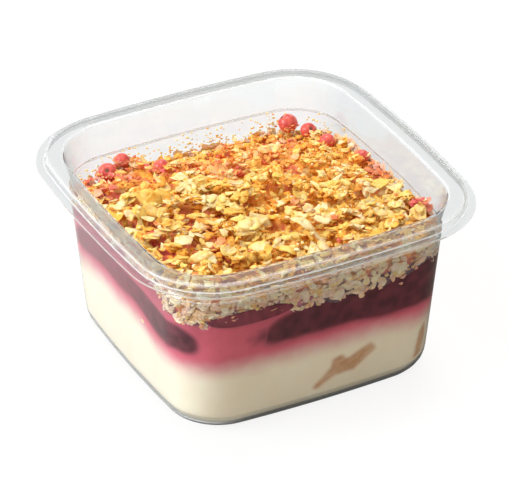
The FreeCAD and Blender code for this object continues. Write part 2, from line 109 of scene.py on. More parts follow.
# The shade that hugs the foot of the cup: its outline's half width where it is
# deepest and where it ends, its middle, and how much light is left in it.
CONTACT_SHADE = (0.0355, 0.0395)
SHADE_MIDDLE = (0.005, -0.0022, 0)
SHADE_LEFT = 0.38
SHADE_SQUARENESS = 4.0
ROOM_LIGHT = (0.70, 0.65, 0.59, 1)
WHITE = (1, 1, 1, 1)
DARK_ROOM = (0.12, 0.11, 0.10, 1)
TOWARD_KEY_LAMP = (-0.75, 0.6, 0.25)
GLOSS_ON_DARK_SIDE = 0.06
# Where gloss goes from dark to white, on the floor and in the room.
FLOOR_BRIGHTENS = (-0.06, 0.11)
ROOM_BRIGHTENS = (-0.3, 0.9)


def new_material(name):
    """An empty node material and its tree."""
    material = bpy.data.materials.new(name)
    material.use_nodes = True
    tree = material.node_tree
    tree.nodes.clear()
    return material, tree


def add_node(tree, kind, inputs=None, **settings):
    """A node of that kind with its settings, and values or links for inputs."""
    node = tree.nodes.new(kind)
    for setting, value in settings.items():
        setattr(node, setting, value)
    for socket, value in (inputs or {}).items():
        if isinstance(value, bpy.types.NodeSocket):
            tree.links.new(value, node.inputs[socket])
        else:
            node.inputs[socket].default_value = value
    return node


def finish_material(tree, shader):
    """The material shows that shader."""
    add_node(tree, "ShaderNodeOutputMaterial", {"Surface": shader})


def calculate(tree, operation, first, second, clamp=False):
    """The result of a sum on two numbers."""
    inputs = {0: first, 1: second}
    return add_node(
        tree, "ShaderNodeMath", inputs, operation=operation, use_clamp=clamp
    ).outputs[0]


def mix_shaders(tree, share, first, second):
    """The first shader, with that share of the second."""
    return add_node(tree, "ShaderNodeMixShader", {"Fac": share, 1: first, 2: second}).outputs[0]


def matt(tree, colour):
    """A matt shader of that colour."""
    return add_node(tree, "ShaderNodeBsdfDiffuse", {"Color": colour}).outputs[0]


def seen_as_white(tree, place, brightens):
    """1 for the eye, also through clear things; in gloss, only on the lamp's side."""
    toward_lamp = add_node(
        tree, "ShaderNodeVectorMath", {0: place, 1: TOWARD_KEY_LAMP}, operation="DOT_PRODUCT"
    )
    bright_side = add_node(
        tree,
        "ShaderNodeMapRange",
        {
            "Value": toward_lamp.outputs["Value"],
            "From Min": brightens[0],
            "From Max": brightens[1],
            "To Min": GLOSS_ON_DARK_SIDE,
        },
    )
    path = add_node(tree, "ShaderNodeLightPath").outputs
    gloss = calculate(tree, "MULTIPLY", path["Is Glossy Ray"], bright_side.outputs[0])
    glossy = calculate(tree, "ADD", path["Is Camera Ray"], gloss)
    clear = calculate(tree, "ADD", glossy, path["Is Transmission Ray"], clamp=True)
    not_from_food = calculate(tree, "LESS_THAN", path["Diffuse Depth"], 0.5)
    return calculate(tree, "MULTIPLY", clear, not_from_food)


floor_mesh = bpy.data.meshes.new("floor")
reach = FLOOR_SIZE / 2
floor_mesh.from_pydata(
    [(-reach, -reach, 0), (reach, -reach, 0), (reach, reach, 0), (-reach, reach, 0)],
    [],
    [(0, 1, 2, 3)],
)
floor = bpy.data.objects.new("floor", floor_mesh)
floor.location.z = -FLOOR_DROP
bpy.context.scene.collection.objects.link(floor)
floor_paint, tree = new_material("white_floor")
glow = add_node(tree, "ShaderNodeEmission", {"Color": WHITE, "Strength": 1.0})
seen_floor = mix_shaders(tree, FLOOR_SHARE_OF_SHADE, glow.outputs[0], matt(tree, WHITE))
place = add_node(tree, "ShaderNodeTexCoord").outputs["Object"]
from_shade = add_node(
    tree, "ShaderNodeVectorMath", {0: place, 1: SHADE_MIDDLE}, operation="SUBTRACT"
)
sides = add_node(tree, "ShaderNodeSeparateXYZ", {"Vector": from_shade.outputs[0]}).outputs
powers = [calculate(tree, "POWER", sides[axis], SHADE_SQUARENESS) for axis in ("X", "Y")]
farther = calculate(tree, "POWER", calculate(tree, "ADD", *powers), 1 / SHADE_SQUARENESS)
beside_cup = add_node(
    tree,
    "ShaderNodeMapRange",
    {
        "Value": farther,
        "From Min": CONTACT_SHADE[0],
        "From Max": CONTACT_SHADE[1],
        "To Min": SHADE_LEFT,
    },
)
path = add_node(tree, "ShaderNodeLightPath").outputs
lit_place = calculate(tree, "MAXIMUM", beside_cup.outputs[0], path["Is Camera Ray"])
bright_floor = seen_as_white(tree, place, FLOOR_BRIGHTENS)
white_floor = calculate(tree, "MULTIPLY", bright_floor, lit_place)
both = mix_shaders(tree, white_floor, matt(tree, FLOOR_BOUNCE), seen_floor)
# Gloss that looks away from the lamp meets the dark room, not the floor.
from_food = calculate(tree, "ADD", path["Diffuse Depth"], white_floor)
dark_side = calculate(tree, "SUBTRACT", path["Is Glossy Ray"], from_food, clamp=True)
finish_material(tree, mix_shaders(tree, dark_side, both, matt(tree, DARK_ROOM)))
floor_mesh.materials.append(floor_paint)

world = bpy.data.worlds.new("studio")
world.use_nodes = True
bpy.context.scene.world = world
tree = world.node_tree
tree.nodes.clear()
white_room, room_light = (
    add_node(tree, "ShaderNodeBackground", {"Color": colour, "Strength": 1.0}).outputs[0]
    for colour in (WHITE, ROOM_LIGHT)
)
direction = add_node(tree, "ShaderNodeTexCoord").outputs["Generated"]
bright_room = seen_as_white(tree, direction, ROOM_BRIGHTENS)
room = mix_shaders(tree, bright_room, room_light, white_room)
add_node(tree, "ShaderNodeOutputWorld", {"Surface": room})


def softbox(name, place, width, power, colour):
    """A square lamp at that place, facing the cup."""
    lamp_data = bpy.data.lights.new(name, "AREA")
    lamp_data.size = width
    lamp_data.energy = power
    lamp_data.color = colour
    lamp = bpy.data.objects.new(name, lamp_data)
    place = Vector(place)
    turn = (place - LOOKED_AT).to_track_quat("Z", "Y")
    lamp.matrix_world = Matrix.Translation(place) @ turn.to_matrix().to_4x4()
    bpy.context.scene.collection.objects.link(lamp)


softbox("key_lamp", (-0.86, 0.22, 0.62), 0.55, 8.2, (0.94, 1.0, 1.08))
softbox("top_lamp", (0.15, 0.35, 0.95), 0.5, 4.6, (1.0, 0.985, 0.96))

# ---- clear cup ---------------------------------------------------------------
# One sheet of clear plastic, half a millimetre thin, drawn hot into a square mould:
# a rounded base, tapered walls, a shoulder under the neck, a collar that widens
# upward, a flange and a lower lip round it.

# Half widths and levels of the inside of the sheet, in millimetres.
lip_half = cad_box[1][0] / MM
cup_height = cad_box[1][2] / MM
WALL = 0.5
LIP_WIDTH = 2.37
RISER_HEIGHT = 2.3
FLANGE_WIDTH = 5.4
COLLAR_DEPTH = 8.9
COLLAR_TAPER = 2.23
UNDERCUT = 0.75
SHOULDER_DEPTH = 1.0
WALL_TAPER = 3.36
BASE_ROUND = 6.5
FLANGE_ROUND = 1.2
LIP_ROUND = 0.35
LIP_EDGE_ROUND = 0.22
NECK_ROUND = 0.45
CORNER_INSET = 24.85
BASE_CORNER_INSET = 15.47
SIDE_CENTRE = 363.0
MIDDLE_RING = 0.5
TIGHTEST_CORNER = 0.3
LONGEST_RUN = 3.0
LEAST_STEPS = 3
STEPS_PER_RADIAN = 4
lip_top = cup_height - RISER_HEIGHT
neck_level = cup_height - COLLAR_DEPTH
shoulder_level = neck_level - SHOULDER_DEPTH
flange_half = lip_half - LIP_WIDTH
mouth_half = flange_half - FLANGE_WIDTH
neck_half = mouth_half - COLLAR_TAPER
shoulder_half = neck_half + UNDERCUT
base_half = shoulder_half - WALL_TAPER
rim_corner = lip_half - CORNER_INSET
base_corner = base_half + WALL - BASE_CORNER_INSET
# Points along each bowed side and round each corner of an outline.
SIDE_STEPS = 76
CORNER_STEPS = 48
COLUMNS = 4 * (SIDE_STEPS + CORNER_STEPS)


def outline(half, corner):
    """Points round a square whose sides bow out and whose corners are arcs."""
    turn = math.atan2(corner, corner + SIDE_CENTRE)
    corner_radius = half + SIDE_CENTRE - math.hypot(corner + SIDE_CENTRE, corner)
    along_side = np.linspace(-turn, turn, SIDE_STEPS, endpoint=False)
    round_corner = np.linspace(turn, math.pi / 2 - turn, CORNER_STEPS, endpoint=False)
    bow = half + SIDE_CENTRE
    side = np.c_[bow * np.cos(along_side) - SIDE_CENTRE, bow * np.sin(along_side)]
    arc = corner + corner_radius * np.c_[np.cos(round_corner), np.sin(round_corner)]
    quarters = [np.concatenate([side, arc])]
    for _ in range(3):
        quarters.append(np.c_[-quarters[-1][:, 1], quarters[-1][:, 0]])
    return np.concatenate(quarters)


def corner_at(height):
    """Where the corner arcs are centred at that level."""
    return float(np.interp(height, [WALL, shoulder_level], [base_corner, rim_corner]))


def rounded_path(corners):
    """A path through (half width, level, rounding) with its corners rounded."""
    path = []
    for number, (half, height, radius) in enumerate(corners):
        here = Vector((half, height))
        if radius == 0 or number in (0, len(corners) - 1):
            path.append(here)
            continue
        into = (here - Vector(corners[number - 1][:2])).normalized()
        out = (Vector(corners[number + 1][:2]) - here).normalized()
        turn = math.acos(max(-1.0, min(1.0, into.dot(out))))
        setback = radius * math.tan(turn / 2)
        steps = LEAST_STEPS + int(turn * STEPS_PER_RADIAN)
        start = here - into * setback
        end = here + out * setback
        for step in range(steps + 1):
            share = step / steps
            first_leg = start * (1 - share) + here * share
            second_leg = here * (1 - share) + end * share
            path.append(first_leg * (1 - share) + second_leg * share)
    return path


def split_runs(path, longest):
    """The same path with its long straight runs divided."""
    points = [path[0]]
    for point in path[1:]:
        run = point - points[-1]
        count = max(1, math.ceil(run.length / longest))
        begin = points[-1]
        points += [begin + run * (step / count) for step in range(1, count + 1)]
    return points


def make_piece(name, points, faces, material, smooth=True):
    """A piece of the object from points in millimetres; it rides on the cup."""
    mesh = bpy.data.meshes.new(name)
    mesh.from_pydata((np.asarray(points) * MM).tolist(), [], faces)
    mesh.polygons.foreach_set("use_smooth", [smooth] * len(mesh.polygons))
    mesh.materials.append(material)
    mesh.update()
    piece = bpy.data.objects.new(name, mesh)
    bpy.context.scene.collection.objects.link(piece)
    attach(piece, "root")
    return piece


def give_amount(piece, name, amounts):
    """A number at each point of a piece, which its material reads."""
    made = piece.data.attributes.new(name, "FLOAT", "POINT")
    made.data.foreach_set("value", np.asarray(amounts, dtype=np.float32))


def ring_faces(rings):
    """The faces between rings that lie one after another, and the two end faces."""
    faces = []
    for first in range(0, (rings - 1) * COLUMNS, COLUMNS):
        for column in range(COLUMNS):
            a = first + column
            b = first + (column + 1) % COLUMNS
            faces.append((a, b, b + COLUMNS, a + COLUMNS))
    last = (rings - 1) * COLUMNS
    faces.append(tuple(reversed(range(COLUMNS))))
    faces.append(tuple(range(last, last + COLUMNS)))
    return faces


under_lip = lip_top - WALL
channel_top = cup_height - WALL
turns_of_sheet = [
    (MIDDLE_RING, 0, 0),
    (base_half + WALL, 0, BASE_ROUND),
    (shoulder_half + WALL, shoulder_level, NECK_ROUND),
    (neck_half + WALL, neck_level, NECK_ROUND),
    (mouth_half + WALL, channel_top, FLANGE_ROUND - WALL),
    (flange_half - WALL, channel_top, FLANGE_ROUND - WALL),
    (flange_half - WALL, under_lip, LIP_ROUND),
    (lip_half, under_lip, LIP_EDGE_ROUND),
    (lip_half, lip_top, LIP_EDGE_ROUND),
    (flange_half, lip_top, LIP_ROUND),
    (flange_half, cup_height, FLANGE_ROUND),
    (mouth_half, cup_height, FLANGE_ROUND),
    (neck_half, neck_level, NECK_ROUND),
    (shoulder_half, shoulder_level, NECK_ROUND),
    (base_half, WALL, BASE_ROUND - WALL),
    (MIDDLE_RING, WALL, 0),
]
section = split_runs(rounded_path(turns_of_sheet), LONGEST_RUN)
cup_points = []
for half, height in section:
    corner = min(corner_at(height), half - TIGHTEST_CORNER)
    if half < base_half:
        corner = min(base_corner, half * base_corner / base_half)
    flat = outline(half, corner)
    cup_points.append(np.c_[flat, np.full(len(flat), height)])
cup_points = np.concatenate(cup_points)

# The sheet's tight roundings get a painted highlight: white mixed in for the pale
# lines that rounded edges show where they catch light.  A bend is a turn in radians
# for each millimetre.
SLIGHT_BEND = 0.3
HIGHLIGHT_PER_BEND = 0.45
edge_highlight = [0.0] * len(section)
for number in range(1, len(section) - 1):
    before = section[number] - section[number - 1]
    after = section[number + 1] - section[number]
    bend = before.angle(after, 0.0) / (before.length + after.length) * 2
    edge_highlight[number] = min(1.0, max(0.0, bend - SLIGHT_BEND) * HIGHLIGHT_PER_BEND)


def colour_steps(tree, amount, steps):
    """A colour that runs through the steps, (place, red, green, blue) each."""
    ramp = add_node(tree, "ShaderNodeValToRGB", {"Fac": amount})
    points = ramp.color_ramp.elements
    while len(points) < len(steps):
        points.new(1.0)
    for point, (place, *colour) in zip(points, steps):
        point.position = place
        point.color = (*colour, 1)
    return ramp.outputs["Color"]


def carried(tree, amount_name):
    """An amount that the mesh carries at its points."""
    return add_node(tree, "ShaderNodeAttribute", attribute_name=amount_name).outputs["Fac"]


# Drawn plastic sheet: so thin that it hardly bends light, with a gloss on both
# faces.  It is clear seen face on and greyer edge on, partly from the longer way
# through the sheet and partly as a painted reflection of a dark room; it is
# faintly uneven from the mould.
clear_plastic, tree = new_material("clear_plastic")
ripple = add_node(tree, "ShaderNodeTexNoise", {"Scale": 40.0, "Detail": 1.0})
uneven = add_node(
    tree, "ShaderNodeBump", {"Height": ripple.outputs[0], "Strength": 0.05, "Distance": 0.0004}
)
edge_on = add_node(tree, "ShaderNodeLayerWeight", {"Blend": 0.5})
# Painted reflection: the sheet's colour greys edge on as if it mirrored a dark room.
tint_and_painted_reflection = colour_steps(
    tree,
    edge_on.outputs["Facing"],
    [(0.0, 0.93, 0.945, 0.95), (0.5, 0.75, 0.775, 0.78), (1.0, 0.40, 0.44, 0.44)],
)
sheet = add_node(
    tree,
    "ShaderNodeBsdfPrincipled",
    {
        "Base Color": tint_and_painted_reflection,
        "Roughness": 0.05,
        "IOR": 1.06,
        "Transmission Weight": 1.0,
        "Coat Weight": 1.0,
        "Coat Roughness": 0.06,
        "Coat IOR": 1.5,
        "Coat Normal": uneven.outputs[0],
    },
)
# Painted highlight: a matt and a see-through white, mixed into the sheet where it bends tightly.
HIGHLIGHT_SHARE = 0.42
HIGHLIGHT_WHITE = (0.93, 0.95, 0.97, 1)
LIT_THROUGH_SHARE = 0.4
highlight_amount = calculate(tree, "MULTIPLY", carried(tree, "edge_highlight"), HIGHLIGHT_SHARE)
lit_through = add_node(tree, "ShaderNodeBsdfTranslucent", {"Color": HIGHLIGHT_WHITE})
# The painted highlight's white: part matt, part lit through.
milk = mix_shaders(tree, LIT_THROUGH_SHARE, matt(tree, HIGHLIGHT_WHITE), lit_through.outputs[0])
highlighted_sheet = mix_shaders(tree, highlight_amount, sheet.outputs[0], milk)
shadow = add_node(tree, "ShaderNodeBsdfTransparent", {"Color": (0.97, 0.975, 0.97, 1)})
lamp_rays = add_node(tree, "ShaderNodeLightPath").outputs["Is Shadow Ray"]
finish_material(tree, mix_shaders(tree, lamp_rays, highlighted_sheet, shadow.outputs[0]))
cup = make_piece("clear_cup", cup_points, ring_faces(len(section)), clear_plastic)
give_amount(cup, "edge_highlight", np.repeat(edge_highlight, COLUMNS))
even = cup.modifiers.new("flat_faces_stay_flat", "WEIGHTED_NORMAL")
even.keep_sharp = False
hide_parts("cup")

# ---- layers of food ----------------------------------------------------------
# Cream, sauce and compote were poured in one on the other and fill the cup to its
# wall.  Their levels are read from the CAD solids, and each reaches just into the
# plastic, so that no air shows between.

INTO_WALL = 0.14
WALL_LEVELS = 180
FOOD_TOP = 60.0
LAYER_ROWS = 72
# Levels are looked for well inside the wall first, then close to it.
LOOKED_FOR_INSIDE = (2.5, 0.4)


def solid_of(node):
    """A CAD node's surface, for finding levels on it."""
    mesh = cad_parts[node].data
    points = [v.co / MM for v in mesh.vertices]
    return BVHTree.FromPolygons(points, [tuple(p.vertices) for p in mesh.polygons])


solids = {
    node: solid_of(node) for node in ("cream", "dark_compote", "compote_tongue", "crumb_topping")
}


def level_of(node, x, y, from_above):
    """Where a line straight down, or up, first meets that solid, or not at all."""
    start = Vector((x, y, FOOD_TOP if from_above else -FOOD_TOP))
    hit = solids[node].ray_cast(start, Vector((0, 0, -1 if from_above else 1)))[0]
    return math.nan if hit is None else hit.z


def inner_half(height):
    """Half width of the inside of the cup at that level."""
    levels = [WALL, shoulder_level, neck_level, cup_height]
    half = float(np.interp(height, levels, [base_half, shoulder_half, neck_half, mouth_half]))
    rounding = BASE_ROUND - WALL
    up = height - WALL
    if up < rounding:
        half -= rounding - math.sqrt(max(0.0, rounding ** 2 - (rounding - up) ** 2))
    return half


wall_levels = np.linspace(WALL - INTO_WALL, neck_level + 1, WALL_LEVELS)
wall_rings = np.array(
    [outline(inner_half(max(WALL, z)) + INTO_WALL, corner_at(z)) for z in wall_levels]
)


def on_wall(heights, push=0.0):
    """Points on the inner wall, one for each column, at those heights."""
    at = np.interp(heights, wall_levels, np.arange(len(wall_levels)))
    below = np.minimum(at.astype(int), len(wall_levels) - 2)
    share = (at - below)[:, None]
    column = np.arange(COLUMNS)
    flat = wall_rings[below, column] * (1 - share) + wall_rings[below + 1, column] * share
    reach = np.hypot(flat[:, 0], flat[:, 1])[:, None]
    return np.c_[flat * (1 + push / reach), heights]


def levels_round(node, from_above, guess):
    """That solid's level at the wall in each column, nan where it has none."""
    heights = np.full(COLUMNS, float(guess))
    for inset in LOOKED_FOR_INSIDE:
        spots = on_wall(np.where(np.isnan(heights), guess, heights), -inset)
        heights = np.array([level_of(node, x, y, from_above) for x, y, _ in spots])
    return heights


def joined_up(heights):
    """Levels with the columns that have none filled in from their neighbours."""
    known = ~np.isnan(heights)
    column = np.arange(COLUMNS)
    return np.interp(column, column[known], heights[known], period=COLUMNS)


def rough(points, size, seed, depth=3):
    """Soft noise between about -1 and 1 at points in millimetres."""
    shift = Vector((seed * 17.3, seed * 5.1, seed * 9.7))
    return np.array([noise.fractal(Vector(p) / size + shift, 1.0, 2.0, depth) for p in points])


def cap_rings(ring, shares):
    """Rings that shrink to the middle, ever nearer to its mean level."""
    middle = ring[:, 2].mean()
    return [
        np.c_[ring[:, :2] * share, middle + (ring[:, 2] - middle) * share]
        for share in shares
    ]


def make_layer(name, low, high, rows, push, material):
    """A block of food between two levels, with its side on the wall."""
    side = []
    for row in range(rows + 1):
        heights = low + (high - low) * row / rows
        side.append(on_wall(heights, push(heights, row)))
    shares = np.linspace(0.9, 0.05, 9)
    rings = cap_rings(side[0], shares)[::-1] + side + cap_rings(side[-1], shares)
    points = np.concatenate(rings)
    return make_piece(name, points, ring_faces(len(rings)), material), points


def column_values(points, heights):
    """The level of its own column for each point of a layer's mesh."""
    return np.tile(heights, len(points) // COLUMNS)


cream_high = joined_up(levels_round("cream", True, 21))
fruit_high = joined_up(levels_round("crumb_topping", False, 37))
compote_low = levels_round("dark_compote", False, 26)
compote_high = levels_round("dark_compote", True, 35)

# ---- cream -------------------------------------------------------------------
# Set smooth cream, poured in first and right through the cup.  It goes pink where
# the sauce lies on it, and shows the baked shards through a film at the wall.

CREAM_FLOOR = WALL - 0.1
CREAM_COLOUR = (0.94, 0.865, 0.715)
CREAM_PATCHES = (0.90, 0.81, 0.64)
BLUSH_COLOUR = (0.74, 0.20, 0.30)
BLUSH_PATCHES = (0.66, 0.16, 0.24)
MILK_UNEVEN = 0.7
MILK_ABOVE = 4.2
MILK_BELOW = 4.6
MIXING = 5.0


def grain(tree, per_metre, roughness=0.5):
    """Noise with that many grains a metre."""
    place = add_node(tree, "ShaderNodeTexCoord").outputs["Object"]
    inputs = {"Vector": place, "Scale": per_metre, "Detail": 3.0, "Roughness": roughness}
    return add_node(tree, "ShaderNodeTexNoise", inputs).outputs[0]


def blend(tree, amount, first, second):
    """From the first colour to the second as the amount goes from 0 to 1."""
    inputs = {"Factor": amount, 6: first, 7: second}
    return add_node(tree, "ShaderNodeMix", inputs, data_type="RGBA").outputs[2]


def new_group(name, inputs, outputs):
    """An effect that several materials place: its tree and its two end nodes."""
    group = bpy.data.node_groups.new(name, "ShaderNodeTree")
    for way, sockets in (("INPUT", inputs), ("OUTPUT", outputs)):
        for socket, kind in sockets.items():
            group.interface.new_socket(socket, in_out=way, socket_type="NodeSocket" + kind)
    return group, group.nodes.new("NodeGroupInput").outputs, group.nodes.new("NodeGroupOutput")


# Soft patches of a second colour in the first.
patchy, given, result = new_group(
    "soft_patches",
    {"Colour": "Color", "Patches": "Color", "Per Metre": "Float", "Amount": "Float"},
    {"Colour": "Color"},
)
clouds = grain(patchy, given["Per Metre"])
share = add_node(
    patchy,
    "ShaderNodeMapRange",
    {"Value": clouds, "From Min": 0.35, "From Max": 0.7, "To Max": given["Amount"]},
)
patched = blend(patchy, share.outputs[0], given["Colour"], given["Patches"])
patchy.links.new(patched, result.inputs["Colour"])

# A fine uneven surface.
RELIEF_DEPTH = 0.0004
relief, given, result = new_group(
    "fine_relief", {"Per Metre": "Float", "Strength": "Float"}, {"Normal": "Vector"}
)
grains = grain(relief, given["Per Metre"])
bump = add_node(
    relief,
    "ShaderNodeBump",
    {"Height": grains, "Strength": given["Strength"], "Distance": RELIEF_DEPTH},
)
relief.links.new(bump.outputs[0], result.inputs["Normal"])


def soft_food(name, colour, roughness, depth, glow_share, gloss, uneven, per_metre):
    """A moist smooth food: light goes in a little way and comes out again."""
    material, tree = new_material(name)
    bumps = add_node(
        tree, "ShaderNodeGroup", {"Strength": uneven, "Per Metre": per_metre}, node_tree=relief
    )
    surface = add_node(
        tree,
        "ShaderNodeBsdfPrincipled",
        {
            "Base Color": colour(tree),
            "Roughness": roughness,
            "Specular IOR Level": gloss,
            "Subsurface Weight": glow_share,
            "Subsurface Radius": depth,
            "Subsurface Scale": 1.0,
            "Normal": bumps.outputs["Normal"],
        },
    )
    finish_material(tree, surface.outputs[0])
    return material


def mottled(tree, colour, patches, per_metre, amount):
    """A colour with soft patches of another one."""
    inputs = {"Colour": (*colour, 1), "Patches": (*patches, 1)}
    inputs |= {"Per Metre": per_metre, "Amount": amount}
    return add_node(tree, "ShaderNodeGroup", inputs, node_tree=patchy).outputs["Colour"]


def cream_look(tree):
    """Cream, going pink by the blush and tan over a shard, as the mesh carries."""
    plain = mottled(tree, CREAM_COLOUR, CREAM_PATCHES, 150.0, 0.6)
    baked = mottled(tree, (0.57, 0.25, 0.085), (0.43, 0.16, 0.045), 900.0, 0.8)
    plain = blend(tree, carried(tree, "shard"), plain, baked)
    pink = mottled(tree, BLUSH_COLOUR, BLUSH_PATCHES, 120.0, 0.4)
    return blend(tree, carried(tree, "milk"), pink, plain)


def smooth_step(amounts, start, end):
    """0 before start, 1 after end, smooth between; start may be the larger."""
    share = np.clip((np.asarray(amounts) - start) / (end - start), 0, 1)
    return share * share * (3 - 2 * share)


def milk_share(points, over_cream):
    """How much cream is mixed in, from all of it below to none in the sauce."""
    unevenly = over_cream + MILK_UNEVEN * rough(points, MIXING, 1)
    return smooth_step(unevenly, MILK_ABOVE, -MILK_BELOW)


cream_paint = soft_food(
    "set_cream",
    cream_look,
    roughness=0.42,
    depth=(0.004, 0.003, 0.002),
    glow_share=0.35,
    gloss=0.0,
    uneven=0.02,
    per_metre=400.0,
)
cream_low = np.full(COLUMNS, CREAM_FLOOR)
cream, points = make_layer(
    "cream", cream_low, cream_high, LAYER_ROWS, lambda heights, row: 0.0, cream_paint
)
give_amount(cream, "milk", milk_share(points, points[:, 2] - column_values(points, cream_high)))

# The film of cream over a shard is tan from full to none at these gaps from it.
FILM_REACH = 1.6
FILM_FULL = -0.6
FIBRE_SHARE = 0.28
FAR_FROM_SHARD = 2.0
film = np.zeros(len(points))
# The fibres of the shards run up to the right; noise is stretched along them.
ALONG_FIBRES = np.array([[0.22, 0, -0.32], [0, 0.25, 0], [0.11, 0, 0.66]])
SHARDS = ("pastry_shard_1", "pastry_shard_2")
for node in SHARDS:
    shard = solid_of(node)
    gaps = [shard.find_nearest(Vector(point), FAR_FROM_SHARD)[3] for point in points]
    gaps = np.array([FAR_FROM_SHARD if gap is None else gap for gap in gaps])
    fibres = rough(points @ ALONG_FIBRES, 1.2, 6)
    film = np.maximum(film, smooth_step(gaps + FIBRE_SHARE * fibres, FILM_REACH, FILM_FULL))
give_amount(cream, "shard", film)
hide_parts("cream")

# ---- sauce -------------------------------------------------------------------
# Pink red berry sauce, from the cream up to the crumbs and round the compote, whose
# edges are soft in it.  How dark the fruit is at the wall is worked out on a grid of
# columns and levels, with lumps of whole berries.

LEVEL_STEP = 0.25
LUMP = 1.5
BLUR = 1.8
TONGUE_BLUR = 0.6
# The sauce grows darker above the compote's top, over this many millimetres, by this share.
VEIL_DEPTH = 3.5
VEIL_SHARE = 0.42
# A cloud of dark juice in the sauce at the front: middle, reach, strength.
CLOUD_MIDDLE = (-17.5, 28.8)
CLOUD_REACH = (8.0, 3.6)
CLOUD_SHARE = 0.75
FRONT_WALL = -30
LUMPS_PALER = 0.12
LEFT_BACK_PALER = 0.22
TONGUE_SHARE = 0.85
TONGUE_EDGE = 0.4
# Compote this near to the crumbs has no soft upper edge.
NEAR_CRUMBS = 0.8
NO_EDGE = 4.0
# The thin end of the compote looks thicker at the front, where berries touch the wall.
THICKER = 3.2
THICKER_ELSEWHERE = 0.1
THINNEST_SHOWN = 1.2
grid_levels = np.arange(0, 50, LEVEL_STEP)
column_pitch = np.hypot(*np.diff(outline(shoulder_half, rim_corner), axis=0).T).mean()
tongue_low = levels_round("compote_tongue", False, 35)
tongue_high = levels_round("compote_tongue", True, 36)
has_compote = ~np.isnan(compote_low) & ~np.isnan(compote_high)
compote_low = np.where(has_compote, compote_low, fruit_high)
thickness = np.where(has_compote, compote_high - compote_low, 0)
in_front = on_wall(fruit_high)[:, 1] < FRONT_WALL
spread = THICKER * smooth_step(thickness, 12, 3) * np.where(in_front, 1.0, THICKER_ELSEWHERE)
thickness += np.where(thickness > THINNEST_SHOWN, spread, 0)
compote_high = np.minimum(compote_low + thickness, fruit_high)


def spread_out(inside, blur):
    """The grid with its steps made soft over that many millimetres."""
    across = np.fft.fftfreq(COLUMNS, column_pitch)[:, None]
    upward = np.fft.fftfreq(len(grid_levels), LEVEL_STEP)
    soft = np.exp(-2 * (math.pi * blur) ** 2 * (across ** 2 + upward ** 2))
    return np.fft.ifft2(np.fft.fft2(inside) * soft).real


def darkness_grid():
    """How dark each column is at each level: 1 in the compote, 0 in the sauce."""
    wall_spots = outline(shoulder_half, rim_corner)
    lumps = np.array(
        [
            rough(np.c_[np.tile(spot, (len(grid_levels), 1)), grid_levels], 3.2, 8, 2)
            for spot in wall_spots
        ]
    )
    under = compote_high[:, None] - grid_levels
    under += np.where(fruit_high - compote_high < NEAR_CRUMBS, NO_EDGE, 0.0)[:, None]
    over = grid_levels - compote_low[:, None]
    there = (thickness > 1.0)[:, None]
    inside = np.clip(np.minimum(under, over) + LUMP * lumps, 0, 1) * there
    inside = smooth_step(spread_out(inside, BLUR), 0.08, 0.64)
    inside *= 1 - LUMPS_PALER * np.clip(0.5 + lumps, 0, 1)
    at_left_back = smooth_step(wall_spots[:, 1], -30, 5) * (wall_spots[:, 0] < -20)
    inside *= 1 - LEFT_BACK_PALER * at_left_back[:, None]
    beside = (wall_spots[:, 0] - CLOUD_MIDDLE[0]) / CLOUD_REACH[0]
    above = (grid_levels - CLOUD_MIDDLE[1]) / CLOUD_REACH[1]
    cloud = CLOUD_SHARE * smooth_step(np.hypot(beside[:, None], above) + 0.3 * lumps, 1.0, 0.0)
    inside = np.maximum(inside, cloud * (wall_spots[:, 1] < FRONT_WALL)[:, None])
    veil = np.clip(-under / VEIL_DEPTH, 0, 1) * there * VEIL_SHARE
    tongue = np.minimum(tongue_high[:, None] - grid_levels, grid_levels - tongue_low[:, None])
    tongue = np.nan_to_num(np.clip(tongue + TONGUE_EDGE, 0, 1)) * TONGUE_SHARE
    tongue = spread_out(tongue, TONGUE_BLUR)
    return np.clip(np.maximum(np.maximum(inside, tongue), spread_out(veil, BLUR)), 0, 1)


darkness = darkness_grid()


def darkness_at(points):
    """The grid's value for each point of a layer's mesh."""
    at = np.clip(points[:, 2] / LEVEL_STEP, 0, len(grid_levels) - 2)
    below = at.astype(int)
    share = at - below
    column = np.tile(np.arange(COLUMNS), len(points) // COLUMNS)
    return darkness[column, below] * (1 - share) + darkness[column, below + 1] * share


# The colour of sauce and compote: pink beside the cream, red higher up, dark
# purple where whole berries lie at the wall.
blended_fruit, given, result = new_group(
    "blended_fruit", {"Milk": "Float", "Blush": "Float", "Dark": "Float"}, {"Colour": "Color"}
)
red = mottled(blended_fruit, (0.71, 0.145, 0.215), (0.55, 0.095, 0.15), 130.0, 0.6)
pink = mottled(blended_fruit, BLUSH_COLOUR, BLUSH_PATCHES, 120.0, 0.4)
plain = mottled(blended_fruit, CREAM_COLOUR, CREAM_PATCHES, 150.0, 0.6)
purple = mottled(blended_fruit, (0.098, 0.024, 0.038), (0.062, 0.013, 0.022), 200.0, 0.7)
reddish = blend(blended_fruit, given["Blush"], red, pink)
creamy = blend(blended_fruit, given["Milk"], reddish, plain)
shown = blend(blended_fruit, given["Dark"], creamy, purple)
blended_fruit.links.new(shown, result.inputs["Colour"])


def sauce_look(tree):
    """The blended fruit, by the amounts that the mesh carries."""
    amounts = {name: carried(tree, name.lower()) for name in ("Milk", "Blush", "Dark")}
    return add_node(tree, "ShaderNodeGroup", amounts, node_tree=blended_fruit).outputs["Colour"]


BLUSH_ABOVE = 5.2
BLUSH_BELOW = 2.2


def give_sauce_amounts(piece, points):
    """What the sauce's look reads, for one piece."""
    over_cream = points[:, 2] - column_values(points, cream_high)
    unevenly = over_cream + MILK_UNEVEN * rough(points, MIXING, 1)
    give_amount(piece, "blush", smooth_step(unevenly, BLUSH_ABOVE, -BLUSH_BELOW))
    give_amount(piece, "milk", milk_share(points, over_cream))
    give_amount(piece, "dark", darkness_at(points))


